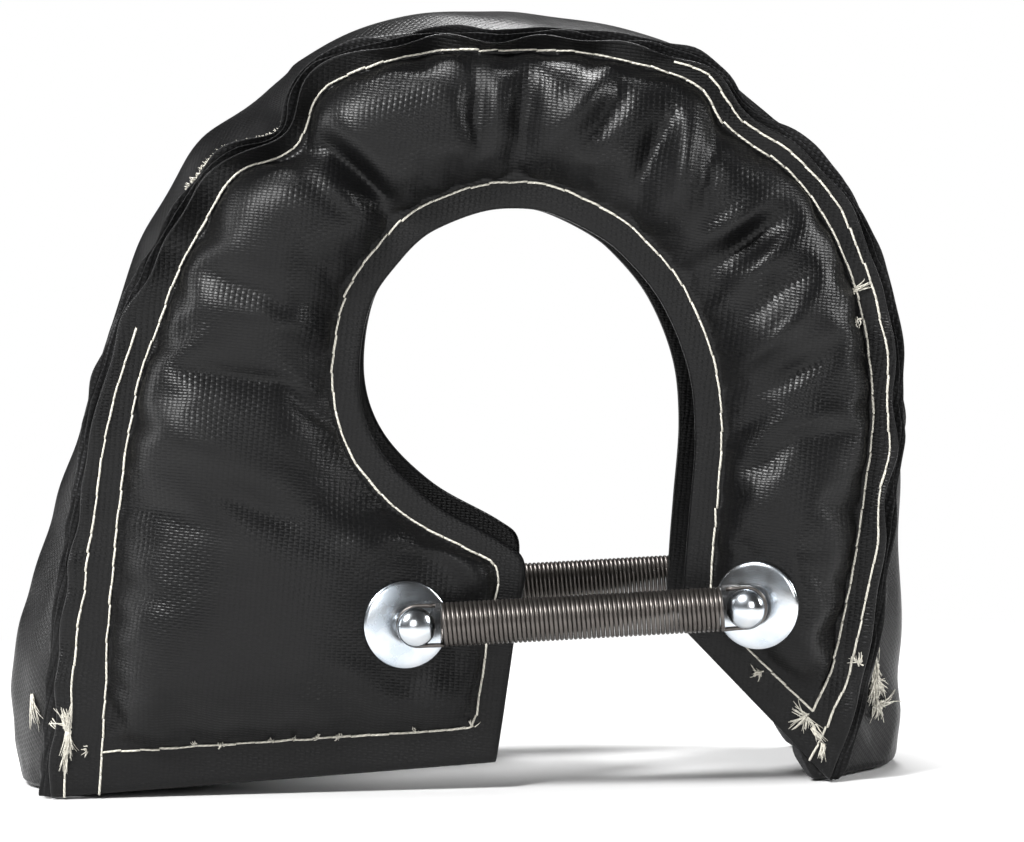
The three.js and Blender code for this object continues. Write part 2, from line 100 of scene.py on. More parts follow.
WASHER_RADIUS = 11.0
WASHER_RIM = 0.9
WASHER_HUB = 1.8
SHANK_RADIUS = 2.0
NECK_RADIUS = 2.5
HEAD_RADIUS = 4.9
HEAD_HEIGHT = 4.6
HEAD_BASE_RADIUS = 3.0
HEAD_FLARE = 1.4
INNER_WASHER_RADIUS = 8.5
INNER_WASHER_THICKNESS = 1.0
FLANGE_RADIUS = 4.2
FLANGE_THICKNESS = 1.2
SEAT_MARGIN = 13.0
WIRE_RADIUS = 0.55
COIL_RADIUS = 5.6
COIL_PITCH = 1.14
SPRING_FACE = SEAM_FACE + 12.7
HOOK_RADIUS = 4.95

# Anchors: name, x, z, lean in degrees, share of the padding's height
ANCHORS = (("left", -27.6, 42.6, 16.0, 0.6), ("right", 59.9, 45.6, 23.0, 0.74))

# Ribs of a panel, hem of the left leg over the top to hem of the right leg: inner x, inner z,
# rim x, rim z, bulge of the band past the rim, share of extra padding, width of the fin
RIBS = np.array([
    (-5.7, 6.5, -118, 0, 7.5, 0, 13.4),
    (-4, 16, -117, 11, 13, 0, 13.4),
    (-0.4, 38, -115.8, 26, 15.3, 0, 13.4),
    (2.4, 57.6, -114.3, 41, 14.9, 0.06, 12.8),
    (-2.5, 62, -113, 50, 13.4, 0, 12.2),
    (-20.5, 72.8, -109, 71, 10.2, -0.15, 10.8),
    (-33.5, 87, -105, 92, 6.4, 0.1, 10),
    (-37.8, 101.5, -99.5, 112, 5.4, -0.13, 9.5),
    (-34.5, 122.5, -84, 141.5, 8.3, 0.1, 7),
    (-27, 133, -70, 159.5, 10.2, 0.13, 5.5),
    (-21.5, 138.4, -55, 164.5, 14.6, -0.4, 4),
    (-17, 141, -49.5, 179.5, 5.8, 0.11, 6),
    (-6, 144.8, -20, 188, 10.3, 0.08, 4.2),
    (2, 145.4, -1, 187.6, 10, -0.21, 3.6),
    (10, 144.2, 17, 187.5, 7.4, 0.11, 4.2),
    (24, 137, 50, 180, 3.6, -0.25, 6),
    (29, 132.6, 59, 169, 6.3, 0.17, 6.5),
    (37.5, 121.8, 78, 155, 3.8, -0.21, 7.3),
    (44.3, 104.5, 93, 125.5, 3.8, 0.14, 7.6),
    (45.7, 88, 96, 95, 5.4, -0.1, 6.5),
    (43.9, 68, 93, 64, 8.3, 0.14, 7.2),
    (42.8, 57, 87, 26, 13.4, 0.24, 9),
    (42.2, 49.5, 82, 10, 18.4, 0, 11),
    (41.5, 39.5, 78, 0, 18, 0, 12),
])
LEFT_SEAM_RIB = 1
RIGHT_SEAM_RIB = 22

# The solids' origin is the middle of their box, so the ribs shift by what the frame says
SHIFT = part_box("front_cloth")[0][0] - RIBS[:, 2].min() * MM


def number(name, text, default, **more):
    return bpy.props.FloatProperty(name=name, description=text, default=default, **more)


def colour_of(name, text, default):
    return bpy.props.FloatVectorProperty(
        name=name, description=text, subtype="COLOR", size=3, default=default, min=0, max=1)


def length_of(name, text, default):
    return number(name, text, default, unit="LENGTH")


def angle_of(name, text, degrees):
    return number(name, text, math.radians(degrees), unit="ROTATION", subtype="ANGLE")


class BlanketCloth(bpy.types.PropertyGroup):
    """Coated cloth of the panels and the band."""

    colour: colour_of("Colour", "Colour of the coated cloth", (0.0032, 0.0032, 0.0034))
    lining_colour: colour_of("Lining", "Colour of the lining cloth", (0.022, 0.022, 0.024))
    yarn_pitch: length_of("Yarn Pitch", "Distance from one yarn of the weave to the next", 0.72 * MM)
    relief: length_of("Weave Relief", "Height of the weave under its coating", 0.085 * MM)
    pressure: number("Stuffing Pressure", "Pressure of the filling while the pads swell", 3.0)
    excess: number("Excess Cloth", "Share of extra cloth gathered into the seams", 0.045,
                   subtype="FACTOR", min=0, max=0.3)


class BlanketThread(bpy.types.PropertyGroup):
    """Sewing thread and its frayed ends."""

    colour: colour_of("Colour", "Colour of the sewing thread", (0.76, 0.73, 0.64))
    stitch: length_of("Stitch", "Length of one stitch from needle hole to needle hole", 4.8 * MM)
    thickness: length_of("Thickness", "Diameter of the thread", 0.58 * MM)


class BlanketMetal(bpy.types.PropertyGroup):
    """Anchors and springs."""

    zinc: colour_of("Zinc", "Colour of the plated anchors", (0.64, 0.66, 0.68))
    steel: colour_of("Spring Steel", "Colour of the spring wire", (0.16, 0.145, 0.135))


class BlanketStage(bpy.types.PropertyGroup):
    """Camera, lamps and floor."""

    distance: length_of("Camera Distance", "From the camera to the front seams", 1.1)
    azimuth: angle_of("Azimuth", "Turn of the camera round the blanket", -1.0)
    elevation: angle_of("Elevation", "Height of the camera as an angle", 3.0)
    roll: angle_of("Roll", "Turn of the picture about its centre", 1.16)


# Outline of the panels

def centripetal(points, positions):
    """Points of a centripetal Catmull-Rom curve; a position counts the control points."""
    padded = np.vstack([2 * points[0] - points[1], points, 2 * points[-1] - points[-2]])
    first = np.clip(np.floor(positions).astype(int), 0, len(points) - 2)
    share = (positions - first)[:, None]
    p0, p1, p2, p3 = (padded[first + k] for k in range(4))
    spans = ((p0, p1), (p1, p2), (p2, p3))
    d0, d1, d2 = (np.sqrt(np.linalg.norm(b - a, axis=1))[:, None] for a, b in spans)
    t1 = ((p1 - p0) / d0 - (p2 - p0) / (d0 + d1) + (p2 - p1) / d1) * d1
    t2 = ((p2 - p1) / d1 - (p3 - p1) / (d1 + d2) + (p3 - p2) / d2) * d1
    c2 = -3 * p1 + 3 * p2 - 2 * t1 - t2
    c3 = 2 * p1 - 2 * p2 + t1 + t2
    return p1 + t1 * share + c2 * share ** 2 + c3 * share ** 3


def eased(column, positions):
    first = np.clip(np.floor(positions).astype(int), 0, len(RIBS) - 2)
    share = (1 - np.cos(np.pi * (positions - first))) / 2
    return RIBS[first, column] * (1 - share) + RIBS[first + 1, column] * share


def even_positions(spacing):
    """Rib positions whose stations lie about one spacing apart, in millimetres."""
    fine = np.linspace(0, len(RIBS) - 1, 2000)
    inner = centripetal(RIBS[:, 0:2], fine)
    outer = centripetal(RIBS[:, 2:4], fine)
    step = 0.4 * np.linalg.norm(np.diff(inner, axis=0), axis=1)
    step += 0.6 * np.linalg.norm(np.diff(outer, axis=0), axis=1)
    run = np.concatenate([[0], np.cumsum(step)])
    return np.interp(np.linspace(0, run[-1], int(run[-1] / spacing) + 1), run, fine)


def seam_line(rib):
    a = RIBS[rib, 0:2]
    b = RIBS[rib, 2:4]
    normal = np.array([a[1] - b[1], b[0] - a[0]])
    normal = normal / np.linalg.norm(normal)
    return a, normal if normal[1] > 0 else -normal


def above_hem(positions, points):
    """Distance of each point above the seam of its own leg's hem."""
    left, left_up = seam_line(LEFT_SEAM_RIB)
    right, right_up = seam_line(RIGHT_SEAM_RIB)
    on_left = (positions < (len(RIBS) - 1) / 2)[:, None]
    return np.where(on_left, (points - left) @ left_up, (points - right) @ right_up)


def plump(distance):
    return np.tanh(np.maximum(distance, 0) / PUFF_REACH)


def smoothstep(low, high, value):
    share = np.clip((value - low) / (high - low), 0, 1)
    return share * share * (3 - 2 * share)


def run_along(points):
    """Distance run from the first point to each point of a path."""
    return np.concatenate([[0], np.cumsum(np.linalg.norm(np.diff(points, axis=0), axis=1))])


def smoothed(values, reach):
    kernel = np.hanning(2 * reach + 3)[1:-1]
    padded = np.pad(values, reach, mode="edge")
    return np.convolve(padded, kernel / kernel.sum(), mode="valid")


class Anchor:
    """Place and lean of one lacing anchor on a panel."""

    def __init__(self, index):
        self.name, x, z, lean, rise = ANCHORS[index]
        other = ANCHORS[1 - index]
        self.place = np.array([x, z])
        pull = np.array([other[1] - x, other[2] - z])
        self.pull = pull / np.linalg.norm(pull)
        self.angle = math.radians(lean)
        self.pad = rise * PUFF_HEIGHT
        self.seat = SEAM_FACE + self.pad + GAP

    def crossing(self, height):
        """Where the pin's axis crosses a height from mid depth, in millimetres."""
        lean = (height - self.seat) * math.tan(self.angle)
        return np.array([*(self.place + self.pull * lean), height])

    def along(self, height):
        return (height - self.seat) / math.cos(self.angle)

    def head_start(self):
        room = (WIRE_RADIUS + HEAD_BASE_RADIUS * math.sin(self.angle)) / math.cos(self.angle)
        return self.along(SPRING_FACE) + room + GAP

    def turn(self, side):
        """Matrix that stands a piece made along +Z on its seat."""
        sine = math.sin(self.angle)
        axis = Vector((self.pull[0] * sine, side * math.cos(self.angle), self.pull[1] * sine))
        return axis.to_track_quat("Z", "Y").to_matrix().to_4x4()

    def spot(self, side, at):
        return Vector((at[0] * MM + SHIFT, side * at[2] * MM, at[1] * MM))


class Panel:
    """Fine grid of a panel: stations along the horseshoe, levels from the inner edge to the rim."""

    LEVELS_IN_PAD = 24
    # Millimetres: from the hem's seam to where the pad starts and where the cloth comes free, and past
    # each washer's edge to where the cloth comes free and where it starts to rise
    HEM_ROW_ROOM = 1.4
    FREE_PAST_HEM_ROW = 0.6
    FREE_PAST_WASHER = 1.5
    FLAT_PAST_WASHER = 4.0
    # Rib positions, and the distance there between the two rows of stitches
    ROW_SPACINGS = ((0, 2, 4, 7, 14, 23), (9.9, 9.4, 7.8, 5.5, 4.2, 6.0))
    # Creases of the padding: x, z, half length, half width, turn in degrees, height
    FOLDS = (
        (-41, 150, 11, 2.6, 137, 4.1),
        (-37, 156, 12, 2.8, 137, -4.6),
        (-62, 158, 8, 3, 120, -2),
        (-66, 128, 12, 4, 160, -2.2),
        (-56, 118, 14, 4, 165, 1.9),
        (-64, 104, 14, 4, 170, -1.9),
        (-8, 168, 12, 2.4, 96, -3.4),
        (-2, 170, 12, 2.4, 88, 2.7),
        (5, 168, 12, 2.4, 82, -2.7),
        (19, 171, 10, 2.2, 53, 3.7),
        (25, 168, 10, 2.4, 55, -3.7),
        (36, 160, 11, 2.6, 70, -2.7),
        (43.6, 157.5, 12, 2.4, 83, 4.1),
        (49, 152, 12, 2.8, 70, -3.2),
        (55, 141, 10, 2.4, 37, 4.1),
        (59, 136, 10, 2.4, 38, -2.6),
        (63, 130.5, 10, 2.4, 40, 4.1),
        (66.5, 124, 10, 2.4, 41, -2.4),
        (68, 117, 9, 2.4, 42, 2),
        (65, 112, 10, 2.4, 42, 3.4),
        (70, 104, 9, 2.8, 30, -3.1),
        (72, 92, 9, 3, 10, 1.7),
        (-70, 84, 18, 5, 150, 1.8),
        (-58, 70, 18, 5, 150, -2.2),
        (-30, 57, 14, 3.6, 145, 1.9),
        (-84, 60, 16, 5, 95, -1.6),
    )

    def __init__(self, spacing=2.6):
        self.positions = even_positions(spacing)
        self.inner = centripetal(RIBS[:, 0:2], self.positions)
        self.rim = centripetal(RIBS[:, 2:4], self.positions)
        along = self.rim - self.inner
        self.width = np.linalg.norm(along, axis=1)
        self.along = along / self.width[:, None]
        self.inner_slant = self.slant(self.inner)
        self.rim_slant = self.slant(self.rim)
        self.fin = eased(6, self.positions) * self.rim_slant
        self.distances = self.levels()
        self.flat = self.inner[:, None, :] + self.distances[:, :, None] * self.along[:, None, :]

    def slant(self, curve):
        tangent = np.gradient(curve, axis=0)
        tangent /= np.linalg.norm(tangent, axis=1)[:, None]
        cross = np.abs(tangent[:, 0] * self.along[:, 1] - tangent[:, 1] * self.along[:, 0])
        return smoothed(1 / np.maximum(0.6, cross), 3)

    def levels(self):
        hem = [0, 0.45, 1.4, 3.2, 5.2, HEM_WIDTH]
        start = (HEM_WIDTH + HEM_ROUND) * self.inner_slant
        end = self.width - self.fin
        columns = [value * self.inner_slant for value in hem] + [start]
        shares = np.linspace(0, 1, self.LEVELS_IN_PAD + 2)[1:-1]
        shares = 0.35 * shares + 0.65 * (1 - np.cos(np.pi * shares)) / 2
        columns += [start + share * (end - start) for share in shares]
        columns += [end, end + 0.9]
        spacing = np.interp(self.positions, *self.ROW_SPACINGS)
        second = end + np.minimum(spacing, 0.74 * self.fin)
        columns += [(end + 0.9 + second) / 2, second]
        columns += [second + share * (self.width - second) for share in (0.3, 0.6, 0.85, 1)]
        self.hole_row = len(hem)
        self.inner_row = self.hole_row + self.LEVELS_IN_PAD + 1
        self.outer_row = self.inner_row + 3
        return np.stack(columns, axis=1)

    def fin_share(self):
        """0 at the inner row of stitches, 1 at the rim."""
        return np.clip(1 - (self.width[:, None] - self.distances) / self.fin[:, None], 0, 1)

    def heights(self, folds=True):
        """Height of the cloth over the seams, pressed flat under each washer."""
        inward = self.distances / self.inner_slant[:, None] - HEM_WIDTH - HEM_ROUND
        outward = (self.width[:, None] - self.distances - self.fin[:, None]) / self.rim_slant[:, None]
        above = above_hem(self.positions, self.flat) - self.HEM_ROW_ROOM
        full = plump(inward) * plump(outward) * plump(above)
        height = full * PUFF_HEIGHT * (1 + eased(5, self.positions)[:, None])
        if folds:
            for x, z, length, width, turn, depth in self.FOLDS:
                offset = self.flat - np.array([x, z])
                c, s = math.cos(math.radians(turn)), math.sin(math.radians(turn))
                lengthwise = offset[..., 0] * c + offset[..., 1] * s
                crosswise = offset[..., 1] * c - offset[..., 0] * s
                fold = np.exp(-(lengthwise / length) ** 2 - (crosswise / width) ** 2)
                height = height + full * depth * fold
        for anchor in (Anchor(0), Anchor(1)):
            offset = self.flat - anchor.place
            away = np.linalg.norm(offset, axis=2)
            flat_to = WASHER_RADIUS + self.FLAT_PAST_WASHER
            near = 1 - smoothstep(flat_to, flat_to + SEAT_MARGIN, away)
            plane = anchor.pad - math.tan(anchor.angle) * (offset @ anchor.pull)
            pressed = np.minimum(height, np.maximum(plane, LOW_PAD))
            height = height * (1 - near) + pressed * near
        return height

    def held(self):
        """Which points the seams and washers hold while the pad swells."""
        held = np.zeros(self.distances.shape)
        held[:, :self.hole_row + 1] = 1
        held[:, self.inner_row:] = 1
        held[above_hem(self.positions, self.flat) < self.HEM_ROW_ROOM + self.FREE_PAST_HEM_ROW] = 1
        for anchor in (Anchor(0), Anchor(1)):
            away = np.linalg.norm(self.flat - anchor.place, axis=2)
            held[away < WASHER_RADIUS + self.FREE_PAST_WASHER] = 1
        return held

    def station_at(self, rib):
        return int(np.argmin(np.abs(self.positions - rib)))


def to_row(flat, height, side):
    """Sketch x and z in millimetres and height from mid depth, as points of the row's frame."""
    y = np.broadcast_to(side * height, flat.shape[:-1])
    return np.stack([flat[..., 0] * MM + SHIFT, y * MM, flat[..., 1] * MM], axis=-1)


# Meshes

def add_mesh(name, points, faces, uvs=None, slots=None, materials=(), smooth=True):
    mesh = bpy.data.meshes.new(name)
    mesh.from_pydata([tuple(p) for p in points], [], [tuple(f) for f in faces])
    if uvs is not None:
        layer = mesh.uv_layers.new(name="cloth")
        loops = np.empty(len(mesh.loops), dtype=np.int32)
        mesh.loops.foreach_get("vertex_index", loops)
        layer.data.foreach_set("uv", np.asarray(uvs, dtype=np.float32)[loops].ravel())
    for material in materials:
        mesh.materials.append(material)
    if slots is not None:
        mesh.polygons.foreach_set("material_index", np.asarray(slots, dtype=np.int32))
    mesh.polygons.foreach_set("use_smooth", np.full(len(mesh.polygons), smooth))
    mesh.validate()
    mesh.update()
    piece = bpy.data.objects.new(name, mesh)
    bpy.context.scene.collection.objects.link(piece)
    return piece


def grid_faces(rows, columns, start=0, flip=False):
    index = start + np.arange(rows * columns).reshape(rows, columns)
    a, b, c, d = index[:-1, :-1], index[:-1, 1:], index[1:, 1:], index[1:, :-1]
    quads = np.stack([a, b, c, d] if flip else [a, d, c, b], axis=-1)
    return quads.reshape(-1, 4)


def shell(name, top, under, top_uv, under_uv, slot_of, materials, flip):
    """A closed pad between two grids with the same number of rows and columns."""
    rows, columns = top.shape[:2]
    size = rows * columns
    points = np.vstack([top.reshape(-1, 3), under.reshape(-1, 3)])
    points[:, 2] = np.maximum(points[:, 2], 0)
    uvs = np.vstack([top_uv.reshape(-1, 2), under_uv.reshape(-1, 2)])
    faces = [grid_faces(rows, columns, 0, flip), grid_faces(rows, columns, size, not flip)]
    t = np.arange(size).reshape(rows, columns)
    u = t + size
    for first, second in ((0, False), (-1, True)):
        edge = np.stack([t[:-1, first], t[1:, first], u[1:, first], u[:-1, first]], axis=-1)
        faces.append(edge if second != flip else edge[:, ::-1])
        cap = np.stack([t[first, :-1], t[first, 1:], u[first, 1:], u[first, :-1]], axis=-1)
        faces.append(cap[:, ::-1] if second != flip else cap)
    slots = slot_of(rows, columns, len(faces[0]))
    rest = sum(len(f) for f in faces[2:])
    faces = np.vstack(faces)
    return add_mesh(name, points, faces, uvs, np.concatenate([slots, np.full(rest, slots[0])]), materials)


# Cloth simulation of the swelling, on a sheet ten times as large, which the solver handles better
SWELL_SCALE = 10.0
SWELL_FRAMES = 24
SWELL_SETTINGS = {
    "quality": 6,
    "mass": 0.3,
    "tension_stiffness": 20,
    "compression_stiffness": 20,
    "shear_stiffness": 8,
    "bending_stiffness": 1.2,
    "tension_damping": 12,
    "compression_damping": 12,
    "bending_damping": 1.5,
    "use_pressure": True,
    "pin_stiffness": 1.0,
}


def swell(points, held, pressure, excess, cap, flip=False):
    """Lets a cloth grid swell and gather between its held points, and returns where it comes to rest."""
    rows, columns = points.shape[:2]
    faces = grid_faces(rows, columns, 0, flip)
    sheet = add_mesh("swelling_sheet", points.reshape(-1, 3) * SWELL_SCALE, faces)
    group = sheet.vertex_groups.new(name="held")
    for index in np.flatnonzero(held.ravel() > 0):
        group.add([int(index)], float(held.ravel()[index]), "REPLACE")
    cloth = sheet.modifiers.new("swell", "CLOTH")
    for name, value in SWELL_SETTINGS.items():
        setattr(cloth.settings, name, value)
    cloth.settings.uniform_pressure_force = pressure
    cloth.settings.shrink_min = -excess
    cloth.settings.vertex_group_mass = "held"
    cloth.settings.effector_weights.gravity = 0
    cloth.collision_settings.use_collision = False
    cloth.collision_settings.use_self_collision = False
    for step in range(1, SWELL_FRAMES + 1):
        bpy.context.scene.frame_set(step)
    shown = sheet.evaluated_get(bpy.context.evaluated_depsgraph_get())
    moved = np.empty(rows * columns * 3, dtype=np.float32)
    shown.data.vertices.foreach_get("co", moved)
    bpy.data.objects.remove(sheet)
    bpy.context.scene.frame_set(1)
    shift = moved.reshape(rows, columns, 3) / SWELL_SCALE - points
    reach = np.linalg.norm(shift, axis=2, keepdims=True)
    return points + shift / (1 + reach / cap)


def grid_normals(points, flip=False):
    along = np.gradient(points, axis=0)
    across = np.gradient(points, axis=1)
    normal = np.cross(along, across) if flip else np.cross(across, along)
    return normal / np.maximum(np.linalg.norm(normal, axis=2, keepdims=True), 1e-12)


def soft_noise(rows, columns, seed, row_waves, column_waves):
    """Smooth random field from a few sines, between about -1 and 1."""
    rng = np.random.default_rng(seed)
    r = np.linspace(0, 1, rows)[:, None]
    c = np.linspace(0, 1, columns)[None, :]
    field = np.zeros((rows, columns))
    for _ in range(14):
        a, b = rng.uniform(0.3, 1, 2) * (row_waves, column_waves)
        field += np.sin(2 * np.pi * (a * r + b * c * rng.choice((-1, 1))) + rng.uniform(0, 2 * np.pi))
    return field / 4.5


# Materials

def new_material(name, colour, roughness, metallic=0.0):
    material = bpy.data.materials.new(name)
    material.use_nodes = True
    shader = material.node_tree.nodes["Principled BSDF"]
    shader.inputs["Base Color"].default_value = (*colour, 1)
    shader.inputs["Roughness"].default_value = roughness
    shader.inputs["Metallic"].default_value = metallic
    return material, material.node_tree, shader


def feed(tree, node, inputs):
    """Sets each input of a node, by name or place, to a value or links it to another node's output."""
    for key, value in inputs.items():
        if isinstance(value, bpy.types.NodeSocket):
            tree.links.new(value, node.inputs[key])
        else:
            node.inputs[key].default_value = value


def add_node(tree, kind, inputs=None, **settings):
    node = tree.nodes.new(f"ShaderNode{kind}")
    for name, value in settings.items():
        setattr(node, name, value)
    feed(tree, node, inputs or {})
    return node


def math_node(tree, operation, *values):
    return add_node(tree, "Math", dict(enumerate(values)), operation=operation).outputs[0]


def new_group(name, inputs, outputs):
    group = bpy.data.node_groups.new(name, "ShaderNodeTree")
    for label, kind, default in inputs:
        socket = group.interface.new_socket(label, in_out="INPUT", socket_type=kind)
        if default is not None:
            socket.default_value = default
    for label, kind in outputs:
        group.interface.new_socket(label, in_out="OUTPUT", socket_type=kind)
    return group, group.nodes.new("NodeGroupInput"), group.nodes.new("NodeGroupOutput")


def weave_group():
    """Plain weave under a coating: yarn height, and the small pits between the yarns."""
    group, source, sink = new_group(
        "Coated Weave",
        [("Pitch", "NodeSocketFloat", 0.0017), ("Turn", "NodeSocketFloat", 0.0)],
        [("Height", "NodeSocketFloat"), ("Pits", "NodeSocketFloat")])

    def calc(operation, *values):
        return math_node(group, operation, *values)

    uv = add_node(group, "UVMap", uv_map="cloth").outputs["UV"]
    turned = add_node(group, "VectorRotate", rotation_type="Z_AXIS")
    feed(group, turned, {"Vector": uv, "Angle": source.outputs["Turn"]})
    turned = turned.outputs["Vector"]
    wander = add_node(group, "TexNoise", {"Scale": 90, "Detail": 1, "Vector": turned})
    split = add_node(group, "SeparateXYZ", {"Vector": turned})
    waver = calc("MULTIPLY", calc("SUBTRACT", wander.outputs["Fac"], 0.5), 0.7)
    across = []
    for axis, float_length in (("X", 1.8), ("Y", 1.0)):
        count = calc("DIVIDE", split.outputs[axis], source.outputs["Pitch"])
        across.append(calc("ADD", calc("DIVIDE", count, float_length), waver))
    crowns = []
    for place in across:
        side = calc("ABSOLUTE", calc("SUBTRACT", calc("FRACT", place), 0.5))
        square = calc("MULTIPLY", calc("MULTIPLY", side, side), 4)
        crowns.append(calc("SUBTRACT", 1, square))
    cells = calc("ADD", *(calc("FLOOR", place) for place in across))
    lower = [calc("ADD", calc("MULTIPLY", crown, 0.45), 0.55) for crown in crowns]
    mixed = add_node(group, "Mix", {
        "Factor": calc("FLOORED_MODULO", cells, 2),
        "A": calc("MULTIPLY", crowns[0], lower[1]),
        "B": calc("MULTIPLY", calc("MULTIPLY", crowns[1], lower[0]), 0.7),
    })
    pits = calc("MULTIPLY", *(calc("SUBTRACT", 1, crown) for crown in crowns))
    feed(group, sink, {"Height": mixed.outputs["Result"], "Pits": pits})
    return group


def mottle_group():
    """Cloudy mottling and fine grain that break up a finish, in object space."""
    group, source, sink = new_group(
        "Mottle",
        [("Cloud Size", "NodeSocketFloat", 40.0), ("Grain Size", "NodeSocketFloat", 900.0)],
        [("Clouds", "NodeSocketFloat"), ("Grain", "NodeSocketFloat")])
    place = add_node(group, "TexCoord").outputs["Object"]
    for label, size, detail in (("Clouds", "Cloud Size", 4), ("Grain", "Grain Size", 2)):
        scale = source.outputs[size]
        noise = add_node(group, "TexNoise", {"Detail": detail, "Vector": place, "Scale": scale})
        feed(group, sink, {label: noise.outputs["Fac"]})
    return group


def mottle(tree, groups, cloud_size, grain_size):
    """Outputs of the mottle group: clouds and grain."""
    node = add_node(tree, "Group", node_tree=groups["mottle"])
    feed(tree, node, {"Cloud Size": cloud_size, "Grain Size": grain_size})
    return node.outputs["Clouds"], node.outputs["Grain"]


def weave(tree, groups, pitch, turn):
    """Outputs of the weave group: yarn height and pits."""
    node = add_node(tree, "Group", node_tree=groups["weave"])
    feed(tree, node, {"Pitch": pitch, "Turn": turn})
    return node.outputs["Height"], node.outputs["Pits"]


def mapped(tree, value, low, high, to_low, to_high):
    limits = {"Value": value, "From Min": low, "From Max": high, "To Min": to_low, "To Max": to_high}
    return add_node(tree, "MapRange", limits).outputs["Result"]


def blended_colour(tree, factor, low, high):
    node = add_node(tree, "Mix", data_type="RGBA")
    feed(tree, node, {"Factor": factor, "A": (*low, 1), "B": (*high, 1)})
    return node.outputs["Result"]


def bump(tree, shader, height, distance, strength=1.0, normal=None):
    inputs = {"Distance": distance, "Strength": strength, "Height": height}
    if normal is not None:
        inputs["Normal"] = normal
    relief = add_node(tree, "Bump", inputs).outputs["Normal"]
    feed(tree, shader, {"Normal": relief})
    return relief


def coated_cloth(name, groups, settings, gloss, turn, pale):
    """Black coated cloth: weave relief under a glossy skin, mottled, with painted highlights that lighten
    the yarn crowns.
    """
    material, tree, shader = new_material(name, settings.colour, 0.4)
    height, pits = weave(tree, groups, settings.yarn_pitch, turn)
    clouds, grain = mottle(tree, groups, 55.0, 1500.0)
    # Painted highlight: the yarn crowns are lightened to pale times the cloth colour in cloudy patches,
    # standing in for glints and sheen off the coating.
    painted_glint = mapped(tree, height, 0.5, 1.0, 0.0, 1.0)
    painted_glint = math_node(tree, "MULTIPLY", painted_glint, mapped(tree, clouds, 0.4, 0.7, 0.2, 1.0))
    high = [pale * value for value in settings.colour]
    rough = mapped(tree, clouds, 0.3, 0.7, gloss - 0.07, gloss + 0.1)
    rough = math_node(tree, "ADD", rough, math_node(tree, "MULTIPLY", pits, 0.25))
    colour = blended_colour(tree, painted_glint, settings.colour, high)
    feed(tree, shader, {"Base Color": colour, "Roughness": rough, "Specular IOR Level": 0.22})
    normal = bump(tree, shader, clouds, 1.2 * MM, 0.5)
    normal = bump(tree, shader, height, settings.relief, 1.0, normal)
    bump(tree, shader, grain, 0.06 * MM, 0.6, normal)
    return material


def lining_cloth(groups, settings):
    material, tree, shader = new_material("Lining Cloth", settings.lining_colour, 0.85)
    height, _ = weave(tree, groups, settings.yarn_pitch * 0.8, 0.0)
    # Painted shade: the weave is darker where its yarns dip between crowns.
    low = [0.55 * value for value in settings.lining_colour]
    feed(tree, shader, {"Base Color": blended_colour(tree, height, low, settings.lining_colour)})
    bump(tree, shader, height, settings.relief * 1.4)
    return material


def thread_material(groups, settings):
    """Twisted glass yarn: cream, with painted shade darkening the grooves between its strands."""
    material, tree, shader = new_material("Sewing Thread", settings.colour, 0.75)
    uv = add_node(tree, "UVMap", uv_map="cloth").outputs["UV"]
    twist = add_node(tree, "TexWave", {"Scale": 420, "Distortion": 1.5, "Vector": uv},
                     wave_type="BANDS", bands_direction="DIAGONAL").outputs["Fac"]
    clouds, _ = mottle(tree, groups, 160.0, 2600.0)
    # Painted shade in the grooves of the twist, times random cloudy tone.
    shade = math_node(tree, "MULTIPLY", mapped(tree, twist, 0, 1, 0.45, 1.0),
                      mapped(tree, clouds, 0.3, 0.7, 0.7, 1.0))
    low = [0.45 * value for value in settings.colour]
    feed(tree, shader, {"Base Color": blended_colour(tree, shade, low, settings.colour)})
    bump(tree, shader, twist, 0.12 * MM)
    return material


def zinc_material(groups, settings):
    """Bright zinc plate: faint bluish clouds and fine scratches."""
    material, tree, shader = new_material("Zinc Plate", settings.zinc, 0.2, 1.0)
    clouds, grain = mottle(tree, groups, 160.0, 3000.0)
    cool = [share * value for share, value in zip((0.78, 0.84, 0.9), settings.zinc)]
    colour = blended_colour(tree, mapped(tree, clouds, 0.35, 0.65, 0.0, 1.0), cool, settings.zinc)
    feed(tree, shader, {"Base Color": colour, "Roughness": mapped(tree, clouds, 0.3, 0.7, 0.3, 0.16)})
    bump(tree, shader, grain, 0.01 * MM, 0.5)
    return material


def spring_material(groups, settings):
    """Oiled spring wire: dark, brownish, drawn lengthwise."""
    material, tree, shader = new_material("Spring Wire", settings.steel, 0.35, 0.9)
    clouds, grain = mottle(tree, groups, 420.0, 3500.0)
    dark = [0.45 * value for value in settings.steel]
    colour = blended_colour(tree, clouds, dark, settings.steel)
    feed(tree, shader, {"Base Color": colour, "Roughness": mapped(tree, grain, 0.3, 0.7, 0.26, 0.46)})
    bump(tree, shader, grain, 0.02 * MM, 0.5)
    return material


def finishes():
    """All materials, made once and found again by name."""
    scene = bpy.context.scene
    if "Panel Cloth" not in bpy.data.materials:
        groups = {"weave": weave_group(), "mottle": mottle_group()}
        # The last number of each cloth is how much the painted highlight lightens its yarn crowns.
        coated_cloth("Panel Cloth", groups, scene.blanket_cloth, 0.36, 0.12, 1.6)
        coated_cloth("Band Cloth", groups, scene.blanket_cloth, 0.34, 0.78, 3.0)
        coated_cloth("Allowance Cloth", groups, scene.blanket_cloth, 0.5, 0.3, 12.0)
        lining_cloth(groups, scene.blanket_cloth)
        thread_material(groups, scene.blanket_thread)
        zinc_material(groups, scene.blanket_metal)
        spring_material(groups, scene.blanket_metal)
    return bpy.data.materials


# Stage

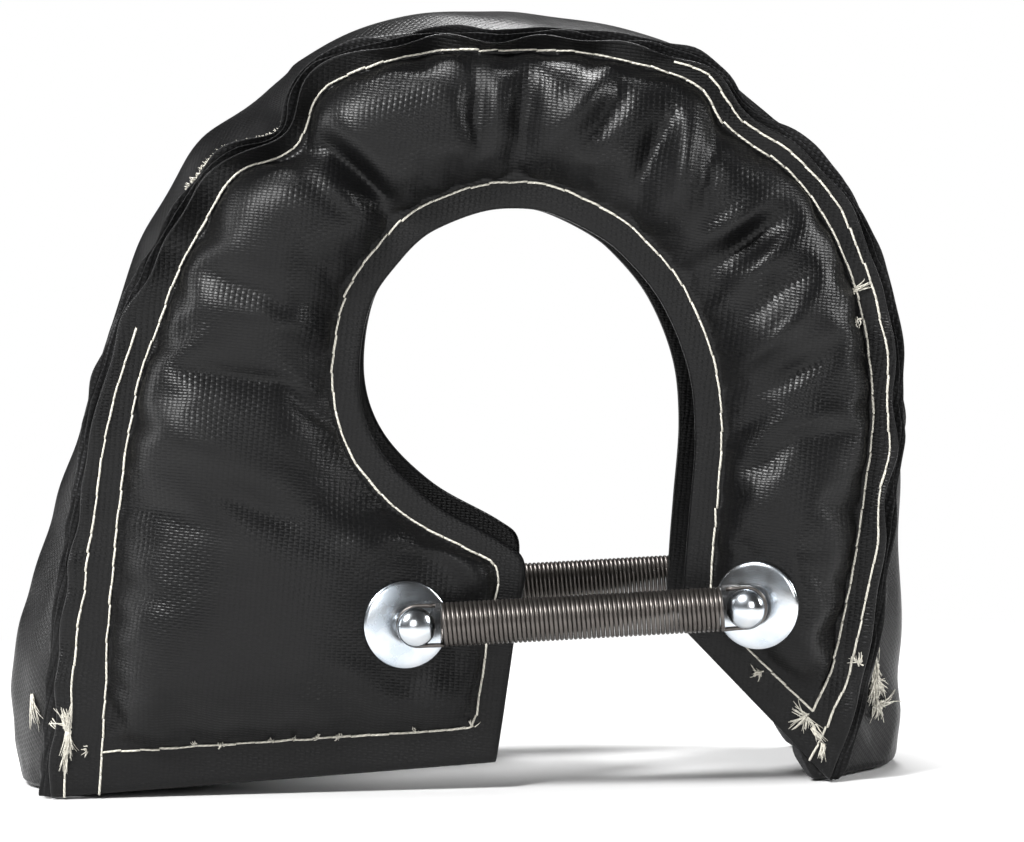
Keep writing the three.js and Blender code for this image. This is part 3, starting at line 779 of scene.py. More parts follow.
class BLANKET_OT_stage(bpy.types.Operator):
    """Camera at the photograph's angle, soft lamps, white floor and world"""

    bl_idname = "blanket.stage"
    bl_label = "Stage"

    def execute(self, context):
        stage = context.scene.blanket_stage
        self.add_camera(context.scene, stage)
        self.add_lamps(context.scene)
        self.add_floor()
        self.add_world(context.scene)
        context.scene.view_settings.view_transform = "Standard"
        return {"FINISHED"}

    def add_camera(self, scene, stage):
        data = bpy.data.cameras.new("photo_camera")
        camera = bpy.data.objects.new("photo_camera", data)
        scene.collection.objects.link(camera)
        scene.camera = camera
        a, e, r = stage.azimuth, stage.elevation, stage.roll
        back = Vector((math.sin(a) * math.cos(e), -math.cos(a) * math.cos(e), math.sin(e)))
        level = Vector((0, 0, 1)).cross(back).normalized()
        upright = back.cross(level)
        up = upright * math.cos(r) + level * math.sin(r)
        right = up.cross(back)
        x, z = PHOTO_CENTRE_MM
        target = Vector((x * MM + SHIFT, -SEAM_FACE * MM, z * MM))
        rotation = Matrix((right, up, back)).transposed().to_4x4()
        camera.matrix_world = Matrix.Translation(target + back * stage.distance) @ rotation
        data.sensor_width = 36
        data.lens = 36 * stage.distance / (PHOTO_SIZE[0] * MM_PER_PIXEL * MM)
        data.clip_start = 0.01

    # Name, place, size and power of each lamp, and the height that all of them face
    LAMPS = (
        ("front_lamp", (0.12, -1.25, 0.42), 0.45, 3.6),
        ("key_lamp", (-0.55, -0.6, 0.85), 0.26, 22.0),
        ("right_lamp", (0.9, -0.1, 0.45), 0.3, 6.0),
        ("left_lamp", (-0.95, 0.15, 0.35), 0.5, 5.0),
        ("top_lamp", (0.1, 0.35, 1.1), 0.4, 18.0),
    )
    LIT_HEIGHT = 0.09
    WORLD_LIGHT = 0.04
    FLOOR_REACH = 4.0
    FLOOR_DROP = 0.0003
    # Radii between which the lit floor passes into the plain white backdrop
    FLOOR_FADE = (0.16, 0.4)

    def add_lamps(self, scene):
        for name, place, size, power in self.LAMPS:
            data = bpy.data.lights.new(name, "AREA")
            data.size = size
            data.energy = power
            lamp = bpy.data.objects.new(name, data)
            lamp.location = place
            aim = Vector((0, 0, self.LIT_HEIGHT)) - Vector(place)
            lamp.rotation_euler = aim.to_track_quat("-Z", "Y").to_euler()
            scene.collection.objects.link(lamp)

    def add_floor(self):
        corners = ((-1, -1), (1, -1), (1, 1), (-1, 1))
        points = [(x * self.FLOOR_REACH, y * self.FLOOR_REACH, -self.FLOOR_DROP) for x, y in corners]
        material, tree, shader = new_material("White Floor", (0.72, 0.72, 0.72), 0.7)
        white = {"Color": (1, 1, 1, 1), "Strength": 1.0}
        lit = add_node(tree, "Emission", white).outputs["Emission"]
        place = add_node(tree, "NewGeometry").outputs["Position"]
        away = add_node(tree, "VectorMath", {0: place}, operation="LENGTH").outputs["Value"]
        edge = mapped(tree, away, *self.FLOOR_FADE, 0.0, 1.0)
        seen = math_node(tree, "MULTIPLY", self.seen_directly(tree), edge)
        mix = add_node(tree, "MixShader", {"Fac": seen, 1: shader.outputs["BSDF"], 2: lit})
        feed(tree, tree.nodes["Material Output"], {"Surface": mix.outputs["Shader"]})
        floor = add_mesh("floor", points, [(0, 1, 2, 3)], materials=[material])

    def add_world(self, scene):
        world = bpy.data.worlds.new("white_world")
        scene.world = world
        world.use_nodes = True
        tree = world.node_tree
        plain = tree.nodes["Background"]
        feed(tree, plain, {"Color": (1, 1, 1, 1), "Strength": self.WORLD_LIGHT})
        white = add_node(tree, "Background", {"Color": (1, 1, 1, 1), "Strength": 1.0})
        mix = add_node(tree, "MixShader", {
            "Fac": self.seen_directly(tree), 1: plain.outputs["Background"], 2: white.outputs["Background"]})
        feed(tree, tree.nodes["World Output"], {"Surface": mix.outputs["Shader"]})

    def seen_directly(self, tree):
        return add_node(tree, "LightPath").outputs["Is Camera Ray"]


# Pads

PADS = {}


# The fin: share of its missing width that curls forward, its lift and its wave in millimetres
FIN_CURL = 0.3
FIN_LIFT = 0.9
FIN_WAVE = 0.7


def fin_shape(panel, seed):
    """How far the fin curls forward, and how far its rim waves in and out, in millimetres."""
    share = panel.fin_share()
    rows = len(share)
    curl = FIN_CURL * (WIDEST_FIN * panel.rim_slant - panel.fin)[:, None]
    flutter = soft_noise(rows, 1, seed, 30, 1) + 0.6 * soft_noise(rows, 1, seed + 40, 60, 1)
    forward = share ** 1.6 * (curl + FIN_LIFT + FIN_LIFT * flutter)
    wave = share ** 2 * (FIN_WAVE * soft_noise(rows, 1, seed + 80, 34, 1))
    return np.maximum(forward, 0), wave


def panel_top(panel, side, seed):
    """Outer cloth of one panel, swollen between its seams."""
    settings = bpy.context.scene.blanket_cloth
    forward, wave = fin_shape(panel, seed)
    flat = panel.flat + wave[:, :, None] * panel.along[:, None, :]
    points = to_row(flat, SEAM_FACE + panel.heights() + forward, side)
    points = swell(points, panel.held(), settings.pressure, settings.excess, 7 * MM, side > 0)
    points[:, 0, 1] -= side * HEM_THICKNESS * 0.3 * MM
    points[:, 1, 1] -= side * HEM_THICKNESS * 0.08 * MM
    points[:, -1, 1] -= side * 0.5 * MM
    return points


def panel_under(panel, top, side):
    """Inner face: turned hem, flat lining, and the back of the fin."""
    lining = SEAM_FACE - CLOTH - GAP - LINING
    height = np.full(panel.distances.shape, lining)
    height[:, :panel.hole_row] = SEAM_FACE - HEM_THICKNESS
    height[:, 0] = SEAM_FACE - HEM_THICKNESS * 0.7
    points = to_row(panel.flat, height, side)
    fin = slice(panel.inner_row + 1, None)
    points[:, fin] = top[:, fin]
    points[:, fin, 1] -= side * (SEAM_FACE - lining) * MM
    points[:, -1, 1] += side * 1.0 * MM
    return points


# Layers of the seam allowance behind the fin: reach past the rim, face from mid depth, thickness
ALLOWANCE_LAYERS = ((1.4, 35.3, 0.7), (2.6, 34.6, 0.6))
ALLOWANCE_START = -4.0


def add_layers(panel, top, side, seed, finish):
    """Raw edges of the folded layers that show past the fin, one behind the other."""
    made = []
    rows = len(panel.positions)
    tangent = np.gradient(panel.rim, axis=0)
    tangent /= np.linalg.norm(tangent, axis=1)[:, None]
    outward = np.stack([-tangent[:, 1], tangent[:, 0]], axis=1)
    carried = top[:, -1, 1] * side / MM - SEAM_FACE
    for index, (reach, face, thickness) in enumerate(ALLOWANCE_LAYERS):
        slow = 0.6 * soft_noise(rows, 1, seed + index, 30, 1)[:, 0]
        fast = 0.35 * soft_noise(rows, 1, seed + 9 + index, 70, 1)[:, 0]
        edge = reach + slow + fast
        hidden = [np.full(rows, ALLOWANCE_START), np.full(rows, 0.375 * ALLOWANCE_START)]
        past = np.stack(hidden + [share * edge for share in (0.5, 0.85, 1)], axis=1)
        flat = panel.rim[:, None, :] + past[:, :, None] * outward[:, None, :]
        out = np.clip((past - ALLOWANCE_START) / (reach - ALLOWANCE_START), 0, 1)
        bend = out ** 2 * carried[:, None] * 0.7
        front = to_row(flat, face + bend, side)
        back = to_row(flat, face - thickness + bend, side)
        uv = flat * MM
        made.append(shell("allowance_layer", front, back, uv, uv,
                          lambda r, c, count: np.full(2 * count, 2), finish, side > 0))
    return made


def join(piece, others):
    """Adds the other meshes to a piece and removes their objects."""
    work = bmesh.new()
    work.from_mesh(piece.data)
    for other in others:
        work.from_mesh(other.data)
        bpy.data.objects.remove(other)
    work.to_mesh(piece.data)
    work.free()


def add_pad(panel, side, name, seed, materials):
    top = panel_top(panel, side, seed)
    under = panel_under(panel, top, side)
    PADS[side] = (panel, top)
    uv = panel.flat * MM

    def slots(rows, columns, count):
        column = np.tile(np.arange(columns - 1), rows - 1)
        inner = (column >= panel.hole_row) & (column < panel.outer_row)
        return np.concatenate([np.zeros(count, dtype=int), inner.astype(int)])

    finish = [materials[kind] for kind in ("Panel Cloth", "Lining Cloth", "Allowance Cloth")]
    piece = shell(name, top, under, uv, uv, slots, finish, side > 0)
    join(piece, add_layers(panel, top, side, seed + 20, finish))
    subdivide(piece)
    return piece


def subdivide(piece):
    """Turns every face outwards and rounds the grid once."""
    work = bmesh.new()
    work.from_mesh(piece.data)
    bmesh.ops.recalc_face_normals(work, faces=work.faces)
    work.to_mesh(piece.data)
    work.free()
    modifier = piece.modifiers.new("smooth", "SUBSURF")
    modifier.levels = 1
    modifier.render_levels = 1


class BLANKET_OT_panels(bpy.types.Operator):
    """Front and rear quilted panels, each with its cloth, filling and lining"""

    bl_idname = "blanket.panels"
    bl_label = "Panels"

    def execute(self, context):
        materials = finishes()
        panel = Panel()
        for side, panel_name, seed in ((-1, "front", 3), (1, "rear", 8)):
            piece = add_pad(panel, side, f"{panel_name}_pad", seed, materials)
            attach(piece, "root")
            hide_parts(f"{panel_name}_cloth", f"{panel_name}_insulation", f"{panel_name}_lining")
        return {"FINISHED"}


class Band:
    """Fine grid of the band: flange, root, wall and the same again at the rear."""

    WALL_LEVELS = 34
    # Shares of the flange's width, from its free edge to its root
    FLANGE_SHARES = (1.0, 0.75, 0.4, 0.12, 0.0)
    flange_levels = len(FLANGE_SHARES)
    # Millimetres: what rounding takes off the crest, the round corner at the root, and where waves start
    CREST_ROOM = 1.8
    CORNER = 1.6
    WAVE_START = 3.0

    def __init__(self, spacing=2.6):
        self.positions = even_positions(spacing)
        self.rim = centripetal(RIBS[:, 2:4], self.positions)
        lift = np.minimum(self.rim[:, 1], FAN_HEIGHT)
        centre = np.stack([np.full(len(self.rim), FAN_PLACE), lift], axis=1)
        outward = self.rim - centre
        self.outward = outward / np.linalg.norm(outward, axis=1)[:, None]
        self.bulge = smoothed(eased(4, self.positions), 1) + self.CREST_ROOM
        full = np.tanh(self.rim[:, 1] / PUFF_REACH)
        self.thickness = END_WALL + (WALL - END_WALL) * full
        corner, foot = RIBS[-1, 0:2], RIBS[-1, 2:4]
        share = (self.rim[:, 1] - foot[1]) / (corner[1] - foot[1])
        room = self.rim[:, 0] - (foot[0] + share * (corner[0] - foot[0]))
        room[self.positions < len(RIBS) / 2] = 100
        self.root = np.minimum(BAND_ROOT, FOOT_ROOT + 0.6 * room)
        self.lining_root = self.root + LINING_ROOT_STEP + 0.36 * self.thickness

    def points(self, past, height):
        """Points of the row's frame, with the flanges' free edges waving in and out."""
        reach = BAND_OVERHANG + self.WAVE_START
        flange = np.clip(past + self.WAVE_START, 0, reach) / reach
        flange = flange * (np.abs(height) > BAND_CLOTH_FACE - self.WAVE_START)
        wave = np.where(height > 0, *(0.8 * soft_noise(len(past), 1, seed, 36, 1) for seed in (61, 62)))
        past = past + flange ** 2 * wave
        flat = self.rim[:, None, :] + past[:, :, None] * self.outward[:, None, :]
        return to_row(flat, height, -1)

    def section(self, root, crest, fullness, flange, free_edge):
        """Distances past the rim and heights from mid depth: one flange, the wall, the other flange."""
        face = BAND_CLOTH_FACE - CLOTH
        heights = np.linspace(face - self.CORNER, self.CORNER - face, self.WALL_LEVELS)
        shape = np.cos(np.pi / 2 * np.minimum(1, np.abs(heights) / face)) ** fullness
        wall = -root[:, None] + (crest + root)[:, None] * shape[None, :]
        shares = self.FLANGE_SHARES
        side = np.stack([-root + (BAND_OVERHANG + root) * share for share in shares], axis=1)
        past = np.hstack([side, wall, side[:, ::-1]])
        ends = [free_edge] + [flange] * (len(shares) - 1)
        height = np.concatenate([ends, heights, [-value for value in reversed(ends)]])
        return past, np.broadcast_to(height, past.shape)

    def outer(self):
        """Outer cloth face: the back of each flange, then the wall between them."""
        face = BAND_CLOTH_FACE - CLOTH
        return self.section(self.root, self.bulge, CLOTH_FULLNESS, face, face - 0.5)

    def inner(self):
        """Inner face: the front of each flange, then the lining."""
        face = BAND_LINING_FACE
        middle = self.bulge - self.thickness
        return self.section(self.lining_root, middle, LINING_FULLNESS, face, face - 0.6)


def band_top(band):
    settings = bpy.context.scene.blanket_cloth
    past, height = band.outer()
    points = band.points(past, height)
    rows, columns = past.shape
    edge = band.flange_levels
    free = np.zeros(columns)
    free[edge:-edge] = np.sin(np.linspace(0, np.pi, columns - 2 * edge)) ** 0.6
    normal = grid_normals(points, True)
    folds = 1.5 * soft_noise(rows, columns, 21, 5, 3.5) + 0.8 * soft_noise(rows, columns, 22, 22, 2)
    calm = 1 - 0.7 * np.sin(np.linspace(0, np.pi, columns)) ** 4
    points = points + normal * ((free * calm)[None, :] * folds)[:, :, None] * MM
    held = np.ones((rows, columns))
    held[2:-2, edge + 1:-edge - 1] = 0
    return swell(points, held, settings.pressure * 0.5, settings.excess * 0.8, 3.5 * MM, True)


class BLANKET_OT_band(bpy.types.Operator):
    """Padded band that joins the panels, with its flanges and lining"""

    bl_idname = "blanket.band"
    bl_label = "Band"

    def execute(self, context):
        materials = finishes()
        band = Band()
        top = band_top(band)
        under = band.points(*band.inner())
        PADS["band"] = (band, top)
        run = run_along(band.rim) * MM
        down = run_along(top[len(top) // 2])
        uv = np.stack(np.broadcast_arrays(run[:, None], down[None, :]), axis=-1)
        edge = band.flange_levels

        def slots(rows, columns, count):
            column = np.tile(np.arange(columns - 1), rows - 1)
            inner = (column >= edge - 2) & (column < columns - edge + 1)
            return np.concatenate([np.zeros(count, dtype=int), inner.astype(int)])

        piece = shell("band_pad", top, under, uv, uv, slots,
                      [materials["Band Cloth"], materials["Lining Cloth"]], True)
        subdivide(piece)
        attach(piece, "root")
        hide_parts("band_cloth", "band_insulation", "band_lining")
        return {"FINISHED"}


# Threads

class Threads:
    """Collects short tubes of thread and makes one mesh of them."""

    def __init__(self):
        self.points = []
        self.faces = []
        self.uvs = []

    def tube(self, path, radius, sides=6, taper=False):
        path = np.asarray(path)
        tangent = np.gradient(path, axis=0)
        tangent /= np.maximum(np.linalg.norm(tangent, axis=1)[:, None], 1e-12)
        helper = np.array([0.3, 0.8, 0.52])
        first = np.cross(tangent, helper)
        first /= np.linalg.norm(first, axis=1)[:, None]
        second = np.cross(tangent, first)
        angles = np.linspace(0, 2 * np.pi, sides, endpoint=False)
        scale = np.linspace(1, 0.35, len(path)) if taper else np.ones(len(path))
        ring = np.cos(angles)[None, :, None] * first[:, None, :]
        ring = ring + np.sin(angles)[None, :, None] * second[:, None, :]
        rings = path[:, None, :] + ring * (radius * scale)[:, None, None]
        start = len(self.points)
        self.points.extend(rings.reshape(-1, 3))
        run = run_along(path)
        for along in run:
            self.uvs.extend((angle * radius, along) for angle in angles)
        for i in range(len(path) - 1):
            for k in range(sides):
                a = start + i * sides + k
                b = start + i * sides + (k + 1) % sides
                self.faces.append((a, b, b + sides, a + sides))
        self.faces.append(tuple(start + k for k in reversed(range(sides))))
        last = start + (len(path) - 1) * sides
        self.faces.append(tuple(last + k for k in range(sides)))

    def piece(self, name, material):
        points = np.array(self.points)
        points[:, 2] = np.maximum(points[:, 2], 0)
        made = add_mesh(name, points, self.faces, self.uvs, materials=[material])
        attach(made, "root")
        return made


def resample(points, normals, spacing):
    run = run_along(points)
    count = max(2, int(round(run[-1] / spacing)) + 1)
    at = np.linspace(0, run[-1], count)
    place = np.stack([np.interp(at, run, points[:, k]) for k in range(3)], axis=1)
    normal = np.stack([np.interp(at, run, normals[:, k]) for k in range(3)], axis=1)
    return place, normal / np.linalg.norm(normal, axis=1)[:, None]


def surface_of(name):
    """Search tree over the finished, subdivided surface of a piece."""
    return BVHTree.FromObject(bpy.data.objects[name], bpy.context.evaluated_depsgraph_get())


def laid_on(tree, points, normals, room=2.5 * MM):
    """The points dropped onto a piece's surface along their normals."""
    placed = np.array(points)
    for index, (point, normal) in enumerate(zip(points, normals)):
        hit = tree.ray_cast(Vector(point + normal * room), Vector(-normal), 2 * room)[0]
        if hit is not None:
            placed[index] = hit
    return placed


# Height of a stitch's middle line over the cloth, in radii of the thread
STITCH_ARCH = (0.0, 0.8, 1.0, 1.05, 1.0, 0.8, 0.0)


def sew(threads, tree, points, normals, settings, rng):
    """One row of lock stitches that lie on the cloth and dive into it at each needle hole."""
    steps = len(STITCH_ARCH) - 1
    place, normal = resample(points, normals, settings.stitch / steps)
    place = laid_on(tree, place, normal)
    radius = settings.thickness / 2
    lift = np.array(STITCH_ARCH) * radius
    sideways = np.cross(np.gradient(place, axis=0), normal)
    sideways /= np.maximum(np.linalg.norm(sideways, axis=1)[:, None], 1e-12)
    for start in range(0, len(place) - steps, steps):
        part = slice(start, start + steps + 1)
        sway = rng.normal(0, 0.07 * MM) + np.linspace(-1, 1, steps + 1) * rng.normal(0, 0.1 * MM)
        path = place[part] + normal[part] * lift[:, None] + sideways[part] * sway[:, None]
        inset = rng.uniform(0.0, 0.05)
        path[0] += (path[1] - path[0]) * inset
        path[-1] += (path[-2] - path[-1]) * inset
        threads.tube(path, radius * rng.uniform(0.85, 1.1))


def pad_rows(side):
    """Rows of stitches of one panel, as points and normals on its cloth."""
    panel, top = PADS[side]
    normal = grid_normals(top, side < 0)
    left = panel.station_at(LEFT_SEAM_RIB)
    right = panel.station_at(RIGHT_SEAM_RIB)
    hole, inner, outer = panel.hole_row, panel.inner_row, panel.outer_row

    def pick(rows, columns):
        square = normal[rows, columns] * 0.4 + np.array([0, side, 0])
        return top[rows, columns], square / np.linalg.norm(square, axis=1)[:, None]

    around = np.concatenate([
        [(left, c) for c in range(inner + 1, hole - 1, -1)],
        [(s, hole - 1) for s in range(left + 1, right)],
        [(right, c) for c in range(hole - 1, inner + 2)],
    ])
    stations = np.arange(0, right + 1)
    left_leg = np.arange(0, panel.station_at(7.4))
    right_leg = np.arange(panel.station_at(14.7), len(panel.positions))
    rows = [pick(around[:, 0], around[:, 1]), pick(stations, np.full(len(stations), inner + 1))]
    rows += [pick(leg, np.full(len(leg), outer)) for leg in (left_leg, right_leg)]
    return rows


class BLANKET_OT_stitching(bpy.types.Operator):
    """Rows of cream stitches on both panels and beside the fins of the band"""

    bl_idname = "blanket.stitching"
    bl_label = "Stitching"

    def execute(self, context):
        materials = finishes()
        settings = context.scene.blanket_thread
        rng = np.random.default_rng(5)
        for side, name in ((-1, "front"), (1, "rear")):
            threads = Threads()
            tree = surface_of(f"{name}_pad")
            for points, normals in pad_rows(side):
                sew(threads, tree, points, normals, settings, rng)
            threads.piece(f"{name}_stitches", materials["Sewing Thread"])
        band, top = PADS["band"]
        normal = grid_normals(top, True)
        threads = Threads()
        tree = surface_of("band_pad")
        for level in (band.flange_levels + 1, top.shape[1] - band.flange_levels - 2):
            sew(threads, tree, top[:, level], normal[:, level], settings, rng)
        threads.piece("band_stitches", materials["Sewing Thread"])
        return {"FINISHED"}


# Frayed ends on each piece, seen from the front: x and z in sketch millimetres, fibre count,
# length in millimetres, direction in degrees, spread
FRAYS = {
    "front_pad": (
        (72.4, 16.6, 40, 4.6, 225, 210),
        (74.0, 14.0, 18, 5.0, 300, 30),
        (76.6, 9.0, 18, 4.2, 255, 40),
        (-112.8, 17.4, 30, 5.5, 92, 30),
        (-112.6, 17.0, 34, 6.5, 268, 26),
        (-113.4, 12.0, 16, 6.0, 262, 20),
        (-112.4, 18.5, 8, 5.5, 140, 60),
        (-108.0, 12.2, 5, 1.6, 200, 80),
        (-81.0, 13.2, 4, 1.2, 90, 60),
        (-74.5, 13.5, 5, 1.3, 280, 90),
        (-62.0, 14.0, 4, 1.2, 90, 60),
        (-56.0, 14.2, 4, 1.2, 85, 60),
        (-50.5, 14.5, 6, 1.4, 95, 200),
        (-45.0, 14.7, 5, 1.9, 275, 60),
        (-26.0, 15.5, 5, 1.4, 90, 120),
        (-11.5, 16.2, 6, 2.0, 90, 120),
        (86.4, 123.4, 9, 4.2, 25, 30),
        (86.4, 123.4, 6, 3.0, 200, 40),
        (86.0, 116.0, 9, 4.4, 215, 30),
        (61.0, 28.0, 16, 2.6, 200, 160),
        (86.0, 30.0, 12, 3.2, 120, 120),
    ),
    "band_pad": (
        (91.2, 36.0, 24, 8.0, 266, 30),
        (91.0, 29.0, 60, 7.0, 272, 90),
        (91.4, 23.5, 70, 6.5, 285, 120),
        (91.6, 17.5, 44, 5.0, 300, 150),
        (92.0, 16.0, 10, 10.0, 12, 8),
        (-123.0, 24.0, 10, 10.5, 312, 6),
        (-117.5, 20.0, 8, 6.0, 318, 16),
    ),
}


def kept_outside(tree, path, room=0.22 * MM):
    """Lifts the points of a path that would lie under a piece's surface."""
    for index, point in enumerate(path):
        near, up = tree.find_nearest(Vector(point))[:2]
        if near is not None and (Vector(point) - near).dot(up) < room:
            path[index] = near + up * room
    return path


def fray(threads, tree, place, normal, count, length, direction, spread, rng):
    for _ in range(count):
        angle = math.radians(direction + rng.uniform(-spread / 2, spread / 2))
        reach = length * MM * rng.uniform(0.5, 1.1)
        way = np.array([math.cos(angle), 0, math.sin(angle)])
        way = way - normal * (way @ normal)
        curl = rng.normal(0, 0.25, 3)
        at = place + rng.normal(0, 0.35, 3) * MM * np.array([1, 0.2, 1])
        share = np.linspace(0, 1, 6)[:, None]
        lift = normal * (0.3 + 1.1 * np.sin(np.pi * share * 0.8)) * rng.uniform(0.3, 1.0) * MM
        path = at + way * reach * share + curl * reach * share ** 2 * 0.5 + lift
        path = kept_outside(tree, path)
        threads.tube(path, rng.uniform(0.16, 0.3) * MM, sides=4, taper=True)


class BLANKET_OT_frays(bpy.types.Operator):
    """Frayed knots and loose fibres where the seams end"""

    bl_idname = "blanket.frays"
    bl_label = "Frays"

    # Ribs between which the raw edge of the band's flange has frayed, and its fibres
    RAW_EDGE = (8.4, 10.4)
    RAW_FIBRES = 260

    def raw_edge(self, threads, rng):
        """Short pale fibres along the cut edge of the flange."""
        at = np.sort(rng.uniform(*self.RAW_EDGE, self.RAW_FIBRES))
        rim = centripetal(RIBS[:, 2:4], at)
        outward = rim - np.array([FAN_PLACE, FAN_HEIGHT])
        outward /= np.linalg.norm(outward, axis=1)[:, None]
        for place, out in zip(rim, outward):
            lean = rng.normal(0, 0.7)
            way = np.array([out[0] * math.cos(lean) - out[1] * math.sin(lean), rng.normal(-0.2, 0.3),
                            out[0] * math.sin(lean) + out[1] * math.cos(lean)])
            x, z = place + out * rng.uniform(1.6, 2.3)
            start = np.array([x * MM + SHIFT, -rng.uniform(34.2, 35.2) * MM, z * MM])
            share = np.linspace(0, 1, 4)[:, None]
            path = start + way * share * rng.uniform(0.4, 1.3) * MM
            threads.tube(path, rng.uniform(0.12, 0.22) * MM, sides=4, taper=True)

    def execute(self, context):
        materials = finishes()
        rng = np.random.default_rng(11)
        threads = Threads()
        for carrier, frays in FRAYS.items():
            tree = surface_of(carrier)
            for x, z, *looks in frays:
                ahead = Vector((x * MM + SHIFT, -0.1, z * MM))
                hit, up = tree.ray_cast(ahead, Vector((0, 1, 0)))[:2]
                if hit is not None:
                    fray(threads, tree, np.array(hit), np.array(up), *looks, rng)
        self.raw_edge(threads, rng)
        threads.piece("front_frays", materials["Sewing Thread"])
        return {"FINISHED"}


# Anchors and springs

def lathe(name, profile, material, segments=72):
    """Turned piece along +Z from radius and height pairs in millimetres that start and end on one line."""
    profile = np.asarray(profile) * MM
    angles = np.linspace(0, 2 * np.pi, segments, endpoint=False)
    rings = np.stack([
        profile[:, None, 0] * np.cos(angles)[None, :],
        profile[:, None, 0] * np.sin(angles)[None, :],
        np.broadcast_to(profile[:, None, 1], (len(profile), segments)),
    ], axis=-1)
    index = np.arange(len(profile) * segments).reshape(len(profile), segments)
    nxt = np.roll(index, -1, axis=1)
    faces = np.stack([index[:-1], nxt[:-1], nxt[1:], index[1:]], axis=-1).reshape(-1, 4)
    piece = add_mesh(name, rings.reshape(-1, 3), faces, materials=[material])
    tidy_ends(piece)
    return piece


def tidy_ends(piece):
    """Joins the points that lie on the axis and turns every face outwards."""
    work = bmesh.new()
    work.from_mesh(piece.data)
    bmesh.ops.remove_doubles(work, verts=work.verts, dist=1e-7)
    bmesh.ops.recalc_face_normals(work, faces=work.faces)
    work.to_mesh(piece.data)
    work.free()


def arc(centre, radius, start, end, steps):
    angles = np.radians(np.linspace(start, end, steps))
    return [(centre[0] + radius * math.cos(a), centre[1] + radius * math.sin(a)) for a in angles]


class BLANKET_OT_anchors(bpy.types.Operator):
    """Lacing anchors: polished head on a pin, dished outer washer, flat inner washer"""

    bl_idname = "blanket.anchors"
    bl_label = "Anchors"

    def execute(self, context):
        zinc = finishes()["Zinc Plate"]
        for side, panel in ((-1, "front"), (1, "rear")):
            for index in (0, 1):
                anchor = Anchor(index)
                prefix = f"{panel}_{anchor.name}"
                seat = anchor.spot(side, (*anchor.place, anchor.seat))
                stand = Matrix.Translation(seat) @ anchor.turn(side)
                self.add(f"{prefix}_pin", self.pin(anchor), zinc, stand, f"{prefix}_anchor_pin")
                self.add(f"{prefix}_washer", self.washer(), zinc, stand, f"{prefix}_outer_washer")
                back = SEAM_FACE - CLOTH - LINING - 2 * GAP - INNER_WASHER_THICKNESS
                flat = Matrix.Translation(anchor.spot(side, anchor.crossing(back)))
                flat = flat @ Vector((0, side, 0)).to_track_quat("Z", "Y").to_matrix().to_4x4()
                profile = self.back_washer(anchor)
                self.add(f"{prefix}_back_washer", profile, zinc, flat, f"{prefix}_inner_washer")
        return {"FINISHED"}

    def add(self, name, profile, material, matrix, node):
        piece = lathe(name, profile, material)
        piece.data.transform(matrix)
        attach(piece, "root")
        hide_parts(node)

    def pin(self, anchor):
        head = anchor.head_start()
        inner = anchor.along(self.flange_face(anchor))
        low = WASHER_HUB + GAP
        widest = head + HEAD_FLARE
        crown = HEAD_HEIGHT - HEAD_FLARE
        turns = np.linspace(0, np.pi / 2, 16)
        dome = [(HEAD_RADIUS * math.cos(a), widest + crown * math.sin(a)) for a in turns]
        return [
            (0, inner - FLANGE_THICKNESS), (FLANGE_RADIUS - 0.4, inner - FLANGE_THICKNESS),
            (FLANGE_RADIUS, inner - FLANGE_THICKNESS + 0.4), (FLANGE_RADIUS, inner), (SHANK_RADIUS, inner),
            (SHANK_RADIUS, low), (NECK_RADIUS, low), (NECK_RADIUS, head - 0.3), (NECK_RADIUS + 0.25, head),
            (HEAD_BASE_RADIUS, head), (HEAD_BASE_RADIUS + 0.9, head + 0.25),
            (HEAD_RADIUS - 0.25, widest - 0.6), *dome[:-1], (0, widest + crown),
        ]

    def flange_face(self, anchor):
        washer = SEAM_FACE - CLOTH - LINING - 2 * GAP - INNER_WASHER_THICKNESS
        return washer - GAP - FLANGE_RADIUS * math.sin(anchor.angle)

    def washer(self):
        bore = SHANK_RADIUS + GAP
        dish = WASHER_HUB - WASHER_RIM
        crown = [(r, WASHER_RIM + dish * (1 - ((r - bore) / (WASHER_RADIUS - bore)) ** 2.2))
                 for r in np.linspace(WASHER_RADIUS - 0.5, bore + 0.15, 14)]
        rim = arc((WASHER_RADIUS - 0.45, 0.45), 0.45, -90, 70, 8)
        return [(bore, 0), *rim, *crown, (bore, WASHER_HUB - 0.15), (bore, 0)]

    def back_washer(self, anchor):
        t = INNER_WASHER_THICKNESS
        bore = SHANK_RADIUS / math.cos(anchor.angle) + math.tan(anchor.angle) * t / 2 + GAP
        r = INNER_WASHER_RADIUS
        return [(bore, 0), (r - 0.2, 0), (r, 0.2), (r, t - 0.2), (r - 0.2, t), (bore, t), (bore, 0)]


